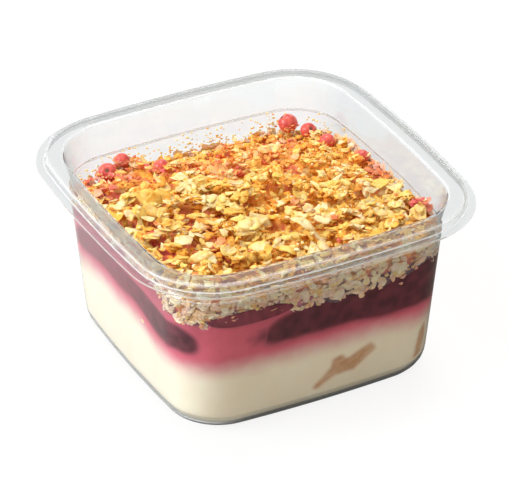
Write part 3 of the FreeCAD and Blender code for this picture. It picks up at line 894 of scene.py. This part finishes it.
# Crumbs have sunk into the fruit beside the wall, deepest in front.
SAG = 1.7
USUAL_SAG = 0.3
SUNK_IN_FRONT = 2.5
DENT = 0.8
sag = rough(on_wall(fruit_high), 3.5, 21)
wall_x, wall_y, _ = on_wall(fruit_high).T
sunk = smooth_step(wall_x, -19, -11) * smooth_step(wall_x, 33, 16) * (wall_y < -30)
crumb_foot = fruit_high - SUNK_IN_FRONT * sunk + SAG * (sag - USUAL_SAG)


def pressed_in(heights, push):
    """The push, less a dent in the fruit where crumbs lie between it and the wall."""
    return (push - DENT * smooth_step(heights, crumb_foot - 0.2, crumb_foot + 0.8))[:, None]


# The sauce laps over the cream, with its lowest rows tucked behind the cream's face.
LAP = 0.9
TUCK_ROWS = 4
TUCKED_BEHIND = -0.04
BEFORE_CREAM = 0.02


def sauce_push(heights, row):
    """How far the sauce reaches into the wall in that row."""
    untucked = TUCKED_BEHIND + (BEFORE_CREAM - TUCKED_BEHIND) * row / TUCK_ROWS
    return pressed_in(heights, min(BEFORE_CREAM, untucked))


sauce_paint = soft_food(
    "berry_sauce",
    sauce_look,
    roughness=0.35,
    depth=(0.003, 0.001, 0.001),
    glow_share=0.25,
    gloss=0.0,
    uneven=0.02,
    per_metre=400.0,
)
sauce, points = make_layer(
    "berry_sauce", cream_high - LAP, fruit_high, LAYER_ROWS, sauce_push, sauce_paint
)
give_sauce_amounts(sauce, points)
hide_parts("berry_sauce")

# ---- compote -----------------------------------------------------------------
# Dark stewed berries, sunk in the sauce under the crumbs and thick at the right.
# They stand a hair in front of the sauce at the wall.

BEFORE_SAUCE = 0.03
COMPOTE_ROWS = 60
compote_paint = soft_food(
    "dark_compote",
    sauce_look,
    roughness=0.3,
    depth=(0.002, 0.0007, 0.001),
    glow_share=0.1,
    gloss=0.0,
    uneven=0.05,
    per_metre=900.0,
)
shown_low = np.clip(compote_low, cream_high, fruit_high)
compote, points = make_layer(
    "dark_compote",
    shown_low,
    compote_high,
    COMPOTE_ROWS,
    lambda heights, row: pressed_in(heights, BEFORE_SAUCE),
    compote_paint,
)
give_sauce_amounts(compote, points)
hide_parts("dark_compote")

# ---- compote tongue ----------------------------------------------------------
# A thin run of the same compote at the front left, with a clear lower edge on the
# sauce.  It keeps its CAD shape, pushed out into the wall.

BEFORE_FRUIT = 0.1
TONGUE_DARK = 0.75
TONGUE_PATCHES = 0.2
tongue_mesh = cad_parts["compote_tongue"].data
points = np.array([v.co for v in tongue_mesh.vertices]) / MM
outward = points[:, :2] / np.hypot(points[:, 0], points[:, 1])[:, None]
points[:, :2] += outward * (INTO_WALL + BEFORE_FRUIT)
tongue = make_piece(
    "compote_tongue", points, [tuple(p.vertices) for p in tongue_mesh.polygons], compote_paint
)
for amount in ("blush", "milk"):
    give_amount(tongue, amount, np.zeros(len(points)))
give_amount(tongue, "dark", TONGUE_DARK + TONGUE_PATCHES * rough(points, 2.5, 9))
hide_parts("compote_tongue")

# ---- crumb heap --------------------------------------------------------------
# Crumbs and thin flakes of baked puff pastry, loose on the fruit.  A core of packed
# crumbs lies under the loose bits, which fall on it one by one and come to rest.

CELL = 0.5
# The core: how far under the heap's top, how rough, how far in from the wall, how
# far under the fruit its side begins, and at what share of its depth it ends.
CORE_DEPTH = 2.4
CORE_RELIEF = 0.9
CORE_INSET = 1.5
CORE_FOOT = 0.3
CORE_SHOULDER = 0.6
# The core's orange brown is partly toast and partly a painted warm light that bounces between the
# flakes.
CORE_TOAST_AND_PAINTED_BOUNCE = 0.62
CORE_PATCHES = 0.3
CORE_SIDE_RINGS = 14
CORE_TOP_RINGS = 59
EDGE_OVER_FRUIT = 4.0
EDGE_INSET = 0.8
LOWEST_TOP = 38.0
chance = random.Random(11)
dice = np.random.default_rng(11)


def half_through(points):
    """Half width of the rim's outline that passes through each point."""
    flat = np.abs(points[:, :2])
    long_way = flat.max(axis=1)
    short_way = flat.min(axis=1)
    turn = math.atan2(rim_corner, rim_corner + SIDE_CENTRE)
    by_side = np.hypot(long_way + SIDE_CENTRE, short_way) - SIDE_CENTRE
    by_corner = np.hypot(long_way - rim_corner, short_way - rim_corner)
    by_corner += math.hypot(rim_corner + SIDE_CENTRE, rim_corner) - SIDE_CENTRE
    on_side = np.arctan2(short_way, long_way + SIDE_CENTRE) <= turn
    return np.where(on_side, by_side, by_corner)


def heap_level(x, y):
    """Top of the CAD heap there, or of its nearest part further in."""
    for share in (1.0, 0.985, 0.965, 0.94):
        height = level_of("crumb_topping", x * share, y * share, True)
        if not math.isnan(height):
            return height
    return LOWEST_TOP


def pastry_look(tree):
    """Baked pastry: pale to brown by its toast, whiter where creamy, red in a stain."""
    spots = grain(tree, 3600.0, 0.6)
    spotted = add_node(tree, "ShaderNodeMapRange", {"Value": spots, "To Min": -0.5, "To Max": 0.5})
    baked = calculate(tree, "ADD", carried(tree, "toast"), spotted.outputs[0], clamp=True)
    crust = colour_steps(
        tree,
        baked,
        [
            (0.0, 0.96, 0.76, 0.44),
            (0.3, 0.96, 0.67, 0.175),
            (0.6, 0.96, 0.45, 0.055),
            (1.0, 0.72, 0.20, 0.02),
        ],
    )
    creamed = blend(tree, carried(tree, "creamy"), crust, (0.97, 0.84, 0.66, 1))
    return blend(tree, carried(tree, "stain"), creamed, (0.80, 0.15, 0.13, 1))


pastry = soft_food(
    "pastry",
    pastry_look,
    roughness=0.5,
    depth=(0.0009, 0.0007, 0.0005),
    glow_share=0.35,
    gloss=0.25,
    uneven=0.45,
    per_metre=3200.0,
)

# The core keeps light out of the gaps between the flakes.
near_wall = on_wall(fruit_high + EDGE_OVER_FRUIT, -EDGE_INSET)
edge_level = np.array([heap_level(x, y) for x, y, _ in near_wall])
side_rings = []
for share in np.linspace(0, 1, CORE_SIDE_RINGS):
    core_edge = edge_level - CORE_DEPTH * CORE_SHOULDER
    heights = fruit_high - CORE_FOOT + (core_edge - fruit_high) * share
    side_rings.append(on_wall(heights, -CORE_INSET))
top_rings = []
for share in np.linspace(1, 0.02, CORE_TOP_RINGS + 1)[1:]:
    flat = side_rings[-1][:, :2] * share
    heights = np.array([heap_level(x, y) for x, y in flat]) - CORE_DEPTH
    at_side = smooth_step(share, 0.93, 1.0)
    heights = heights * (1 - at_side) + side_rings[-1][:, 2] * at_side
    top_rings.append(np.c_[flat, heights])
core_points = np.concatenate(side_rings + top_rings)
lumps = rough(core_points, 2.2, 3) * CORE_RELIEF
core_points[:, 2] += lumps
side_count = len(side_rings) * COLUMNS
reach = np.hypot(core_points[:side_count, 0], core_points[:side_count, 1])[:, None]
core_points[:side_count, :2] *= 1 - np.abs(lumps[:side_count, None]) * 0.8 / reach
core_faces = ring_faces(len(side_rings) + len(top_rings))
core = make_piece("crumb_core", core_points, core_faces, pastry)
# The core's toast, with its painted warm bounce light in the gaps.
give_amount(core, "toast", CORE_TOAST_AND_PAINTED_BOUNCE + CORE_PATCHES * rough(core_points, 1.6, 4))
core_stain = smooth_step(rough(core_points, 7.0, 5), 0.05, 0.5) * 0.7
above_fruit = core_points[:, 2] - column_values(core_points, fruit_high)
core_stain = np.maximum(core_stain, smooth_step(above_fruit, 4.5, 0.0))
give_amount(core, "stain", core_stain)
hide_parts("crumb_topping")

# The level of what already lies there, on a grid of small cells.
cells = int(2 * shoulder_half / CELL) + 2
lying = np.zeros((cells, cells))
for i in range(cells):
    for j in range(cells):
        x = (i + 0.5) * CELL - shoulder_half
        y = (j + 0.5) * CELL - shoulder_half
        lying[i, j] = heap_level(x, y)
lying -= CORE_DEPTH

# Red patches where juice has soaked into the crumbs: place, radius, strength.
STAINS = [
    (-27, 33, 13, 1.0),
    (-14, 30, 8, 1.0),
    (-34, 20, 5, 0.9),
    (0, 14.5, 7.5, 0.75),
    (-32, -5.5, 3.5, 0.95),
    (-20.5, -19, 4.5, 1.0),
    (8, -10.5, 3, 0.7),
    (-17, -8, 3.5, 0.6),
    (13, -24.5, 3.5, 0.5),
    (9, 34.5, 6, 0.6),
    (40, 3, 7, 0.85),
    (37, -27, 6, 0.7),
    (14, 20, 10, 0.45),
    (-5, 24, 8, 0.5),
    (24, 30, 7, 0.7),
]


def stain_at(x, y):
    """How much juice has soaked in at that place."""
    amount = 0.0
    for stain_x, stain_y, radius, strength in STAINS:
        gap = math.hypot(x - stain_x, y - stain_y) / radius
        amount = max(amount, strength * (1 - float(smooth_step(gap, 0.35, 1.0))))
    return amount


def pastry_flake(length, width, thickness, spokes, rings, curl):
    """A thin torn flake, bent, and how near its broken edge each point is."""
    corners = chance.randint(5, 8)
    angles = np.array([corner + chance.uniform(0.1, 0.9) for corner in range(corners)])
    angles = np.sort(angles * 2 * math.pi / corners)
    away = dice.uniform(0.62, 1.08, corners)
    torn = np.c_[away * np.cos(angles), away * np.sin(angles)]
    closed = np.vstack([torn, torn[:1]])
    along = np.linspace(0, corners, spokes, endpoint=False)
    edge = np.c_[
        np.interp(along, range(corners + 1), closed[:, 0]),
        np.interp(along, range(corners + 1), closed[:, 1]),
    ]
    edge *= dice.uniform(0.86, 1.06, (spokes, 1))
    flat = [np.zeros((1, 2))] + [edge * (ring + 1) / rings for ring in range(rings)]
    flat = np.concatenate(flat) * [length / 2, width / 2]
    bend = dice.uniform(-curl, curl, 3)
    x, y = flat[:, 0], flat[:, 1]
    arch = bend[0] * x * x / length + bend[1] * y * y / width + bend[2] * x * y / length
    arch += dice.normal(0, 0.03 * width, len(flat))
    thick = np.full(len(flat), thickness)
    thick[-spokes:] *= 0.45
    count = len(flat)
    points = np.concatenate([np.c_[flat, arch + thick / 2], np.c_[flat, arch - thick / 2]])
    faces = []
    for spoke in range(spokes):
        following = (spoke + 1) % spokes
        faces.append((0, 1 + spoke, 1 + following))
        faces.append((count, count + 1 + following, count + 1 + spoke))
        for ring in range(rings - 1):
            a = 1 + ring * spokes
            b = a + spokes
            faces.append((a + spoke, b + spoke, b + following, a + following))
            a, b = count + a, count + b
            faces.append((a + following, b + following, b + spoke, a + spoke))
        rim = 1 + (rings - 1) * spokes
        under = count + rim
        faces.append((rim + spoke, under + spoke, under + following, rim + following))
    near_edge = np.repeat(np.arange(rings + 1) / rings, [1] + [spokes] * rings)
    return points, faces, np.tile(near_edge, 2)


def any_way():
    """A direction by chance, in radians."""
    return chance.uniform(0, 6.3)


def turned(points, spin, lean, lean_way):
    """Points turned about the upright and then leaned over."""
    turn = Matrix.Rotation(lean, 3, Vector((math.cos(lean_way), math.sin(lean_way), 0)))
    return points @ np.array(turn @ Matrix.Rotation(spin, 3, "Z")).T


SHEET_GAP = 0.5
SHEET_THICKNESS = 0.3


def pastry_puff(length, width, sheets):
    """Several thin sheets that puffed up and baked together."""
    points, faces, near_edge = [], [], []
    count = 0
    for sheet in range(sheets):
        part = chance.uniform(0.6, 1.0)
        form, sides, edge = pastry_flake(length * part, width * part, SHEET_THICKNESS, 13, 3, 1.1)
        form = turned(form, chance.uniform(-0.8, 0.8), abs(chance.gauss(0, 0.22)), any_way())
        aside = [chance.gauss(0, 0.12) * length, chance.gauss(0, 0.12) * width]
        form = form + [*aside, sheet * SHEET_GAP]
        points.append(form)
        near_edge.append(edge)
        faces += [tuple(count + corner for corner in side) for side in sides]
        count += len(form)
    return np.concatenate(points), faces, np.concatenate(near_edge)


def toast_near(middle, spread, more=0.0):
    """A crumb's toast by chance, between 0 and 1."""
    return min(1, max(0, chance.gauss(middle, spread) + more))


def browned(toast, near_edge):
    """Toast of a flake's points: browner at the edge and in spots."""
    spots = dice.normal(0, 0.07, len(near_edge))
    return np.clip(toast + spots + chance.uniform(0.0, 0.4) * (near_edge ** 2 - 0.35), 0, 1)


def ball(steps):
    """The points and faces of a ball of triangles with a unit radius."""
    form = bmesh.new()
    bmesh.ops.create_icosphere(form, subdivisions=steps, radius=1.0)
    points = np.array([v.co for v in form.verts])
    faces = [tuple(v.index for v in f.verts) for f in form.faces]
    form.free()
    return points, faces


BALLS = {steps: ball(steps) for steps in (1, 2)}


def pastry_crumb(size, steps):
    """A small broken lump of pastry."""
    points, faces = BALLS[steps]
    lumpy = points * dice.uniform(0.62, 1.15, (len(points), 1)) * size / 2
    return lumpy * [1, chance.uniform(0.6, 1), chance.uniform(0.4, 0.8)], faces


class Scatter:
    """Loose bits of one kind, joined in one mesh.

    Flakes have a number of spokes and rings, puffs one of sheets.
    """

    def __init__(self, spokes=9, rings=2, sheets=1, where_coarse=False):
        self.spokes, self.rings = spokes, rings
        self.sheets, self.where_coarse = sheets, where_coarse
        self.points, self.faces, self.toast, self.stain = [], [], [], []
        self.count = 0

    def add(self, points, faces, toast, stain):
        """Joins one more bit to the others."""
        self.points.append(points)
        self.faces += [tuple(self.count + corner for corner in face) for face in faces]
        self.toast.append(np.broadcast_to(toast, len(points)))
        self.stain.append(np.broadcast_to(stain, len(points)))
        self.count += len(points)

    def make(self, name, smooth=False):
        """The joined bits as a piece of the object."""
        piece = make_piece(name, np.concatenate(self.points), self.faces, pastry, smooth)
        give_amount(piece, "toast", np.concatenate(self.toast))
        give_amount(piece, "stain", np.concatenate(self.stain))
        return piece


# How far bits may stand over the heap, and how far in from the wall they stay.
TALLEST = 3.3
TALLEST_LARGE = 6.0
OFF_THE_WALL = 0.5
# How far they sink into what they fall on, flakes more for each radian they lean.
CRUMB_SINK = 0.3
FLAKE_SINK = 0.35
FLAKE_LEAN_SINK = 0.9
LARGE_SINK = 1.2


def drop(points, x, y, sink, tallest=TALLEST):
    """The bit let down at that place until it meets what lies there."""
    points = points + [x, y, 0]
    for _ in range(3):
        over = (half_through(points) - (shoulder_half - OFF_THE_WALL)).max()
        if over <= 0:
            break
        away = math.hypot(x, y)
        points -= [x / away * over * 1.1, y / away * over * 1.1, 0]
        x, y = points[:, 0].mean(), points[:, 1].mean()
    i, j = np.clip(((points[:, :2] + shoulder_half) / CELL).astype(int), 0, cells - 1).T
    points[:, 2] += (lying[i, j] - points[:, 2]).max() - sink
    points[:, 2] -= max(0.0, points[:, 2].max() - heap_level(x, y) - tallest)
    np.maximum.at(lying, (i, j), points[:, 2])
    return points


def somewhere():
    """A place on the heap."""
    while True:
        x = chance.uniform(-shoulder_half, shoulder_half)
        y = chance.uniform(-shoulder_half, shoulder_half)
        if half_through(np.array([[x, y, 0]]))[0] < shoulder_half - 1:
            return x, y


def coarse_share(x, y):
    """Flakes are larger at the front and left, crumbs finer at the back."""
    return float(smooth_step(y * 0.8 + x * 0.35, 24, -14))


def scatter_flakes(scatter, count, sizes, toast):
    """Drops that many flakes, or puffs of several sheets, of a range of sizes."""
    for _ in range(count):
        x, y = somewhere()
        if scatter.where_coarse and chance.random() > coarse_share(x, y):
            continue
        length = chance.uniform(*sizes)
        width = length * chance.uniform(0.32, 0.9)
        if scatter.sheets > 1:
            points, faces, near_edge = pastry_puff(length, width, scatter.sheets)
        else:
            thickness = chance.uniform(0.2, 0.4)
            points, faces, near_edge = pastry_flake(
                length, width, thickness, scatter.spokes, scatter.rings, 0.9
            )
        lean = abs(chance.gauss(0, 0.42))
        points = turned(points, any_way(), lean, any_way())
        bit = drop(points, x, y, FLAKE_SINK + FLAKE_LEAN_SINK * lean)
        soaked = stain_at(x, y) * chance.uniform(0.1, 1.2) + max(0, chance.gauss(-0.22, 0.22))
        scatter.add(bit, faces, browned(chance.gauss(*toast), near_edge), min(1, soaked))


BROWNER_AT_BACK = 0.14


def scatter_crumbs(scatter, count, sizes, steps, toast):
    """Drops that many crumbs of a range of sizes."""
    for _ in range(count):
        x, y = somewhere()
        points, faces = pastry_crumb(chance.uniform(*sizes), steps)
        points = turned(points, any_way(), chance.uniform(0, 0.6), any_way())
        bit = drop(points, x, y, CRUMB_SINK)
        soaked = stain_at(x, y) * chance.uniform(0.4, 1.4) + max(0, chance.gauss(-0.2, 0.3))
        browner = BROWNER_AT_BACK * float(smooth_step(y, 2, 30))
        scatter.add(bit, faces, toast_near(*toast, browner), min(1, soaked))


# What falls on the heap, from the first bits to the last: how many, their sizes,
# for crumbs the fineness of the ball they are made from, and their toast.
crumbs = Scatter()
fine_crumbs = Scatter()
small_flakes = Scatter(spokes=9, rings=2)
flakes = Scatter(spokes=14, rings=3, where_coarse=True)
puffs = Scatter(sheets=3, where_coarse=True)
scatter_crumbs(crumbs, 1000, (1.4, 3.2), 2, (0.5, 0.2))
scatter_flakes(small_flakes, 800, (2.0, 4.0), (0.42, 0.2))
scatter_crumbs(fine_crumbs, 1100, (0.7, 1.4), 1, (0.55, 0.25))
scatter_flakes(puffs, 110, (4.5, 7.5), (0.30, 0.16))
scatter_flakes(flakes, 260, (3.5, 7.0), (0.30, 0.2))
scatter_flakes(small_flakes, 420, (2.0, 4.0), (0.38, 0.22))
scatter_crumbs(fine_crumbs, 900, (0.6, 1.3), 1, (0.5, 0.25))
scatter_flakes(puffs, 60, (5.0, 8.0), (0.20, 0.14))
scatter_flakes(flakes, 150, (4.0, 7.5), (0.26, 0.22))
scatter_flakes(small_flakes, 260, (2.0, 3.6), (0.34, 0.25))

# The largest pieces on top: place, length, width, sheets, lean, toast, stain.
TOWARD_FRONT = -0.48
LARGE_PIECES = [
    (-25.0, 7.6, 9.5, 7.5, 3, 1.00, 0.42, 0.0),
    (-29.5, 20.5, 5.5, 2.6, 2, 1.00, 0.10, 0.25),
    (-27.0, 2.0, 7.0, 4.5, 2, 0.40, 0.25, 0.1),
    (-16.9, -6.4, 7.5, 4.0, 3, 0.55, 0.58, 0.1),
    (-12.2, -0.5, 6.5, 4.0, 2, 0.30, 0.10, 0.0),
    (-3.5, 1.2, 8.5, 2.2, 2, 0.25, 0.10, 0.2),
    (-11.3, -18.0, 9.0, 7.0, 4, 0.50, 0.12, 0.0),
    (-5.3, -12.7, 8.0, 5.5, 3, 0.55, 0.10, 0.0),
    (-22.0, -10.8, 6.5, 2.4, 2, 0.20, 0.42, 0.0),
    (9.9, -7.6, 7.0, 4.5, 3, 0.45, 0.30, 0.0),
    (9.9, -13.5, 6.0, 4.5, 2, 0.60, 0.12, 0.15),
    (20.6, -7.4, 8.5, 3.0, 3, 0.30, 0.28, 0.0),
    (34.0, -17.0, 7.5, 4.5, 2, 0.85, 0.15, 0.0),
    (24.0, -20.7, 6.0, 4.5, 3, 0.50, 0.14, 0.0),
    (0.5, -25.3, 7.5, 4.5, 2, 0.35, 0.32, 0.0),
    (25.0, -27.0, 7.0, 4.0, 3, 0.40, 0.18, 0.05),
    (2.7, 25.2, 5.5, 3.6, 1, 0.65, 0.10, 0.0),
    (15.8, 24.2, 6.5, 4.5, 2, 0.70, 0.12, 0.0),
    (7.1, 32.0, 5.5, 4.5, 2, 0.80, 0.45, 0.1),
    (7.6, 2.4, 6.0, 4.0, 2, 0.50, 0.52, 0.0),
    (-28.6, -25.0, 6.5, 4.5, 3, 0.45, 0.15, 0.05),
    (-17.2, 6.7, 6.5, 3.0, 2, 0.35, 0.15, 0.1),
]
for x, y, length, width, sheets, lean, toast, soaked in LARGE_PIECES:
    points, faces, near_edge = pastry_puff(length, width, sheets)
    points = turned(points, chance.uniform(-0.3, 0.3) + TOWARD_FRONT, lean, TOWARD_FRONT)
    bit = drop(points, x, y, LARGE_SINK + LARGE_SINK * lean, TALLEST_LARGE)
    puffs.add(bit, faces, browned(toast, near_edge), soaked)
crumbs.make("loose_crumbs")
small_flakes.make("small_flakes")
flakes.make("flakes", True)
puffs.make("puffed_flakes", True)
fine_crumbs.make("fine_crumbs")

# ---- crumbs against the wall -------------------------------------------------
# What shows of the heap through the plastic: flakes that lie flat on the wall and
# crumbs between them, moist from the fruit, and sunk into it along their foot.

EDGE_OVER_NECK = 1.5
CROWDED_LOW = 1.35
# How far bits are pressed into the plastic, most along their foot, that many
# millimetres up.
PRESSED_IN = 0.05
FOOT_PRESSED_IN = 0.3
FOOT_HEIGHT = 1.2
edge_reach = np.clip(edge_level, 0, neck_level + EDGE_OVER_NECK)
# The columns lie closer at the corners, so places are chosen by length round the wall.
top_ring = wall_rings[-1]
length_round = np.cumsum(np.hypot(*(np.roll(top_ring, -1, axis=0) - top_ring).T))


def against_wall(scatter, count, flaky, sizes, toast, reach_in):
    """Bits lying in a band just inside the wall, faces mostly along it."""
    for _ in range(count):
        place = chance.random() * length_round[-1]
        column = int(np.searchsorted(length_round, place)) % COLUMNS
        low, high = crumb_foot[column], edge_reach[column]
        height = low + (high - low) * chance.random() ** CROWDED_LOW
        ring = on_wall(np.full(COLUMNS, height), -chance.uniform(0.1, reach_in))
        spot, before = ring[column], ring[column - 1]
        along = math.atan2(spot[1] - before[1], spot[0] - before[0])
        outward = math.atan2(spot[1], spot[0])
        size = chance.uniform(*sizes)
        if flaky:
            width = size * chance.uniform(0.5, 0.9)
            points, faces, near_edge = pastry_flake(size, width, 0.3, 9, 2, 0.7)
            colour = browned(chance.gauss(*toast), near_edge)
            points = turned(points, any_way(), math.pi / 2 + chance.gauss(0, 0.45), along)
        else:
            points, faces = pastry_crumb(size, 1)
            colour = toast_near(*toast)
        at_foot = height < low + FOOT_HEIGHT
        reach = inner_half(height) + (FOOT_PRESSED_IN if at_foot else PRESSED_IN)
        over = (half_through(points + spot) - reach).max()
        if over > 0:
            spot = spot - [math.cos(outward) * over, math.sin(outward) * over, 0]
        soaked = float(smooth_step(height - low, 1.8, -0.6)) * chance.uniform(0.1, 0.9)
        soaked = max(soaked, chance.uniform(-0.15, 0.4))
        soaked = max(soaked, 0.8 * stain_at(spot[0], spot[1]) * chance.random())
        scatter.add(points + spot, faces, colour, soaked)


wall_flakes = Scatter()
wall_crumbs = Scatter()
against_wall(wall_crumbs, 880, False, (0.9, 2.8), (0.32, 0.3), 1.2)
against_wall(wall_flakes, 880, True, (2.4, 5.6), (0.13, 0.20), 0.9)
# One crumb has sunk to the foot of the sauce at the left wall.
SUNK_CRUMB = (-39.68, -13.3, 25.2)
points, faces = pastry_crumb(2.2, 2)
wall_crumbs.add(points * [0.3, 1, 1] + SUNK_CRUMB, faces, 0.35, 0.1)
for scatter, name in ((wall_flakes, "flakes_by_the_wall"), (wall_crumbs, "crumbs_by_the_wall")):
    piece = scatter.make(name)
    moist = 0.5 + rough(np.concatenate(scatter.points), 2.2, 41)
    give_amount(piece, "creamy", np.clip(moist, 0, 1))

# A few crumbs cling to the far walls above the heap.
clinging = Scatter()
for _ in range(230):
    column = int(chance.gauss(0.31, 0.07) * COLUMNS) % COLUMNS
    up = abs(chance.gauss(0, 1.0)) * 2.2
    height = min(edge_level[column] + up, neck_level - 0.3)
    spot = on_wall(np.full(COLUMNS, height), -0.3)[column]
    points, faces = pastry_crumb(chance.uniform(0.5, 1.1), 1)
    clinging.add(points + spot, faces, toast_near(0.3, 0.2), 0)
clinging.make("clinging_crumbs")

# ---- red berries -------------------------------------------------------------
# Whole red berries on the heap, most of them at its back and left edge: a taut thin
# skin with a dimple and a dried flower end, and crumbs that stick to it.

BERRIES = [f"red_berry_{number}" for number in range(1, 11)]


def middle_and_radii(node):
    """The middle and the half sizes of a CAD node's box, in millimetres."""
    low, high = (np.array(corner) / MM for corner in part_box(node))
    return (low + high) / 2, (high - low) / 2


def berry_look(tree):
    """Red skin, lighter where the flesh shows through, brown at the flower end."""
    skin = mottled(tree, (0.80, 0.15, 0.10), (0.55, 0.04, 0.05), 800.0, 0.9)
    return blend(tree, carried(tree, "flower_end"), skin, (0.16, 0.045, 0.02, 1))


berry_skin = soft_food(
    "berry_skin",
    berry_look,
    roughness=0.28,
    depth=(0.002, 0.0006, 0.0004),
    glow_share=0.35,
    gloss=0.5,
    uneven=0.2,
    per_metre=1500.0,
)
form, faces = ball(5)
for number, node in enumerate(BERRIES, 1):
    centre, radii = middle_and_radii(node)
    way = Vector((math.cos(number * 2.4), math.sin(number * 2.4), 0.9)).normalized()
    toward_end = form @ np.array(way)
    lump = 1 + 0.02 * rough(form * 3, 1.6, number)
    lump -= 0.10 * smooth_step(toward_end, 0.90, 0.985)
    lump += 0.06 * smooth_step(toward_end, 0.985, 1.0)
    berry = make_piece(f"berry_{number}", centre + form * radii * lump[:, None], faces, berry_skin)
    give_amount(berry, "flower_end", smooth_step(toward_end, 0.95, 0.985))
    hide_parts(node)

# Crumbs stick to the berries, thickest on those at the left.
MANY_CRUMBS = 110
FEW_CRUMBS = 30
sticking = Scatter()
for node in BERRIES:
    centre, radii = middle_and_radii(node)
    for _ in range(MANY_CRUMBS if centre[0] < 5 else FEW_CRUMBS):
        way = dice.normal(0, 1, 3)
        way /= np.linalg.norm(way)
        way[2] = abs(way[2]) * 0.9 - 0.25
        points, faces = pastry_crumb(chance.uniform(0.7, 1.7), 1)
        toast = toast_near(0.35, 0.2)
        sticking.add(points + centre + way * radii, faces, toast, chance.uniform(0.2, 1))
sticking.make("crumbs_on_berries")

# ---- dark berry piece --------------------------------------------------------
# A piece of a dark berry, torn open and wet with its juice.  It lies on the crumbs
# at the left edge of the heap.


def torn_berry_look(tree):
    """Dark red purple flesh."""
    return mottled(tree, (0.24, 0.02, 0.045), (0.05, 0.006, 0.014), 1200.0, 0.9)


torn_flesh = soft_food(
    "torn_berry",
    torn_berry_look,
    roughness=0.2,
    depth=(0.001, 0.0003, 0.0003),
    glow_share=0.2,
    gloss=0.5,
    uneven=0.5,
    per_metre=1400.0,
)
TORN_DEPTH = 0.42
centre, radii = middle_and_radii("dark_berry_piece")
form, faces = ball(5)
lump = 1 - TORN_DEPTH * np.abs(rough(form * 3, 1.1, 31))
torn = make_piece("torn_berry", centre + form * radii * lump[:, None], faces, torn_flesh)
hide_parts("dark_berry_piece")

# ---- pastry shards -----------------------------------------------------------
# Two splinters of well baked pastry, sunk in the cream at the wall and seen through
# a film of it.  They keep their CAD shape and get their material here.


def shard_look(tree):
    """Well baked pastry, darker in streaks."""
    return mottled(tree, (0.62, 0.31, 0.10), (0.36, 0.13, 0.035), 1600.0, 1.0)


shard_crust = soft_food(
    "baked_shard",
    shard_look,
    roughness=0.6,
    depth=(0.001, 0.0006, 0.0004),
    glow_share=0.2,
    gloss=0.25,
    uneven=0.5,
    per_metre=2600.0,
)
for node in SHARDS:
    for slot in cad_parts[node].material_slots:
        slot.material = shard_crust
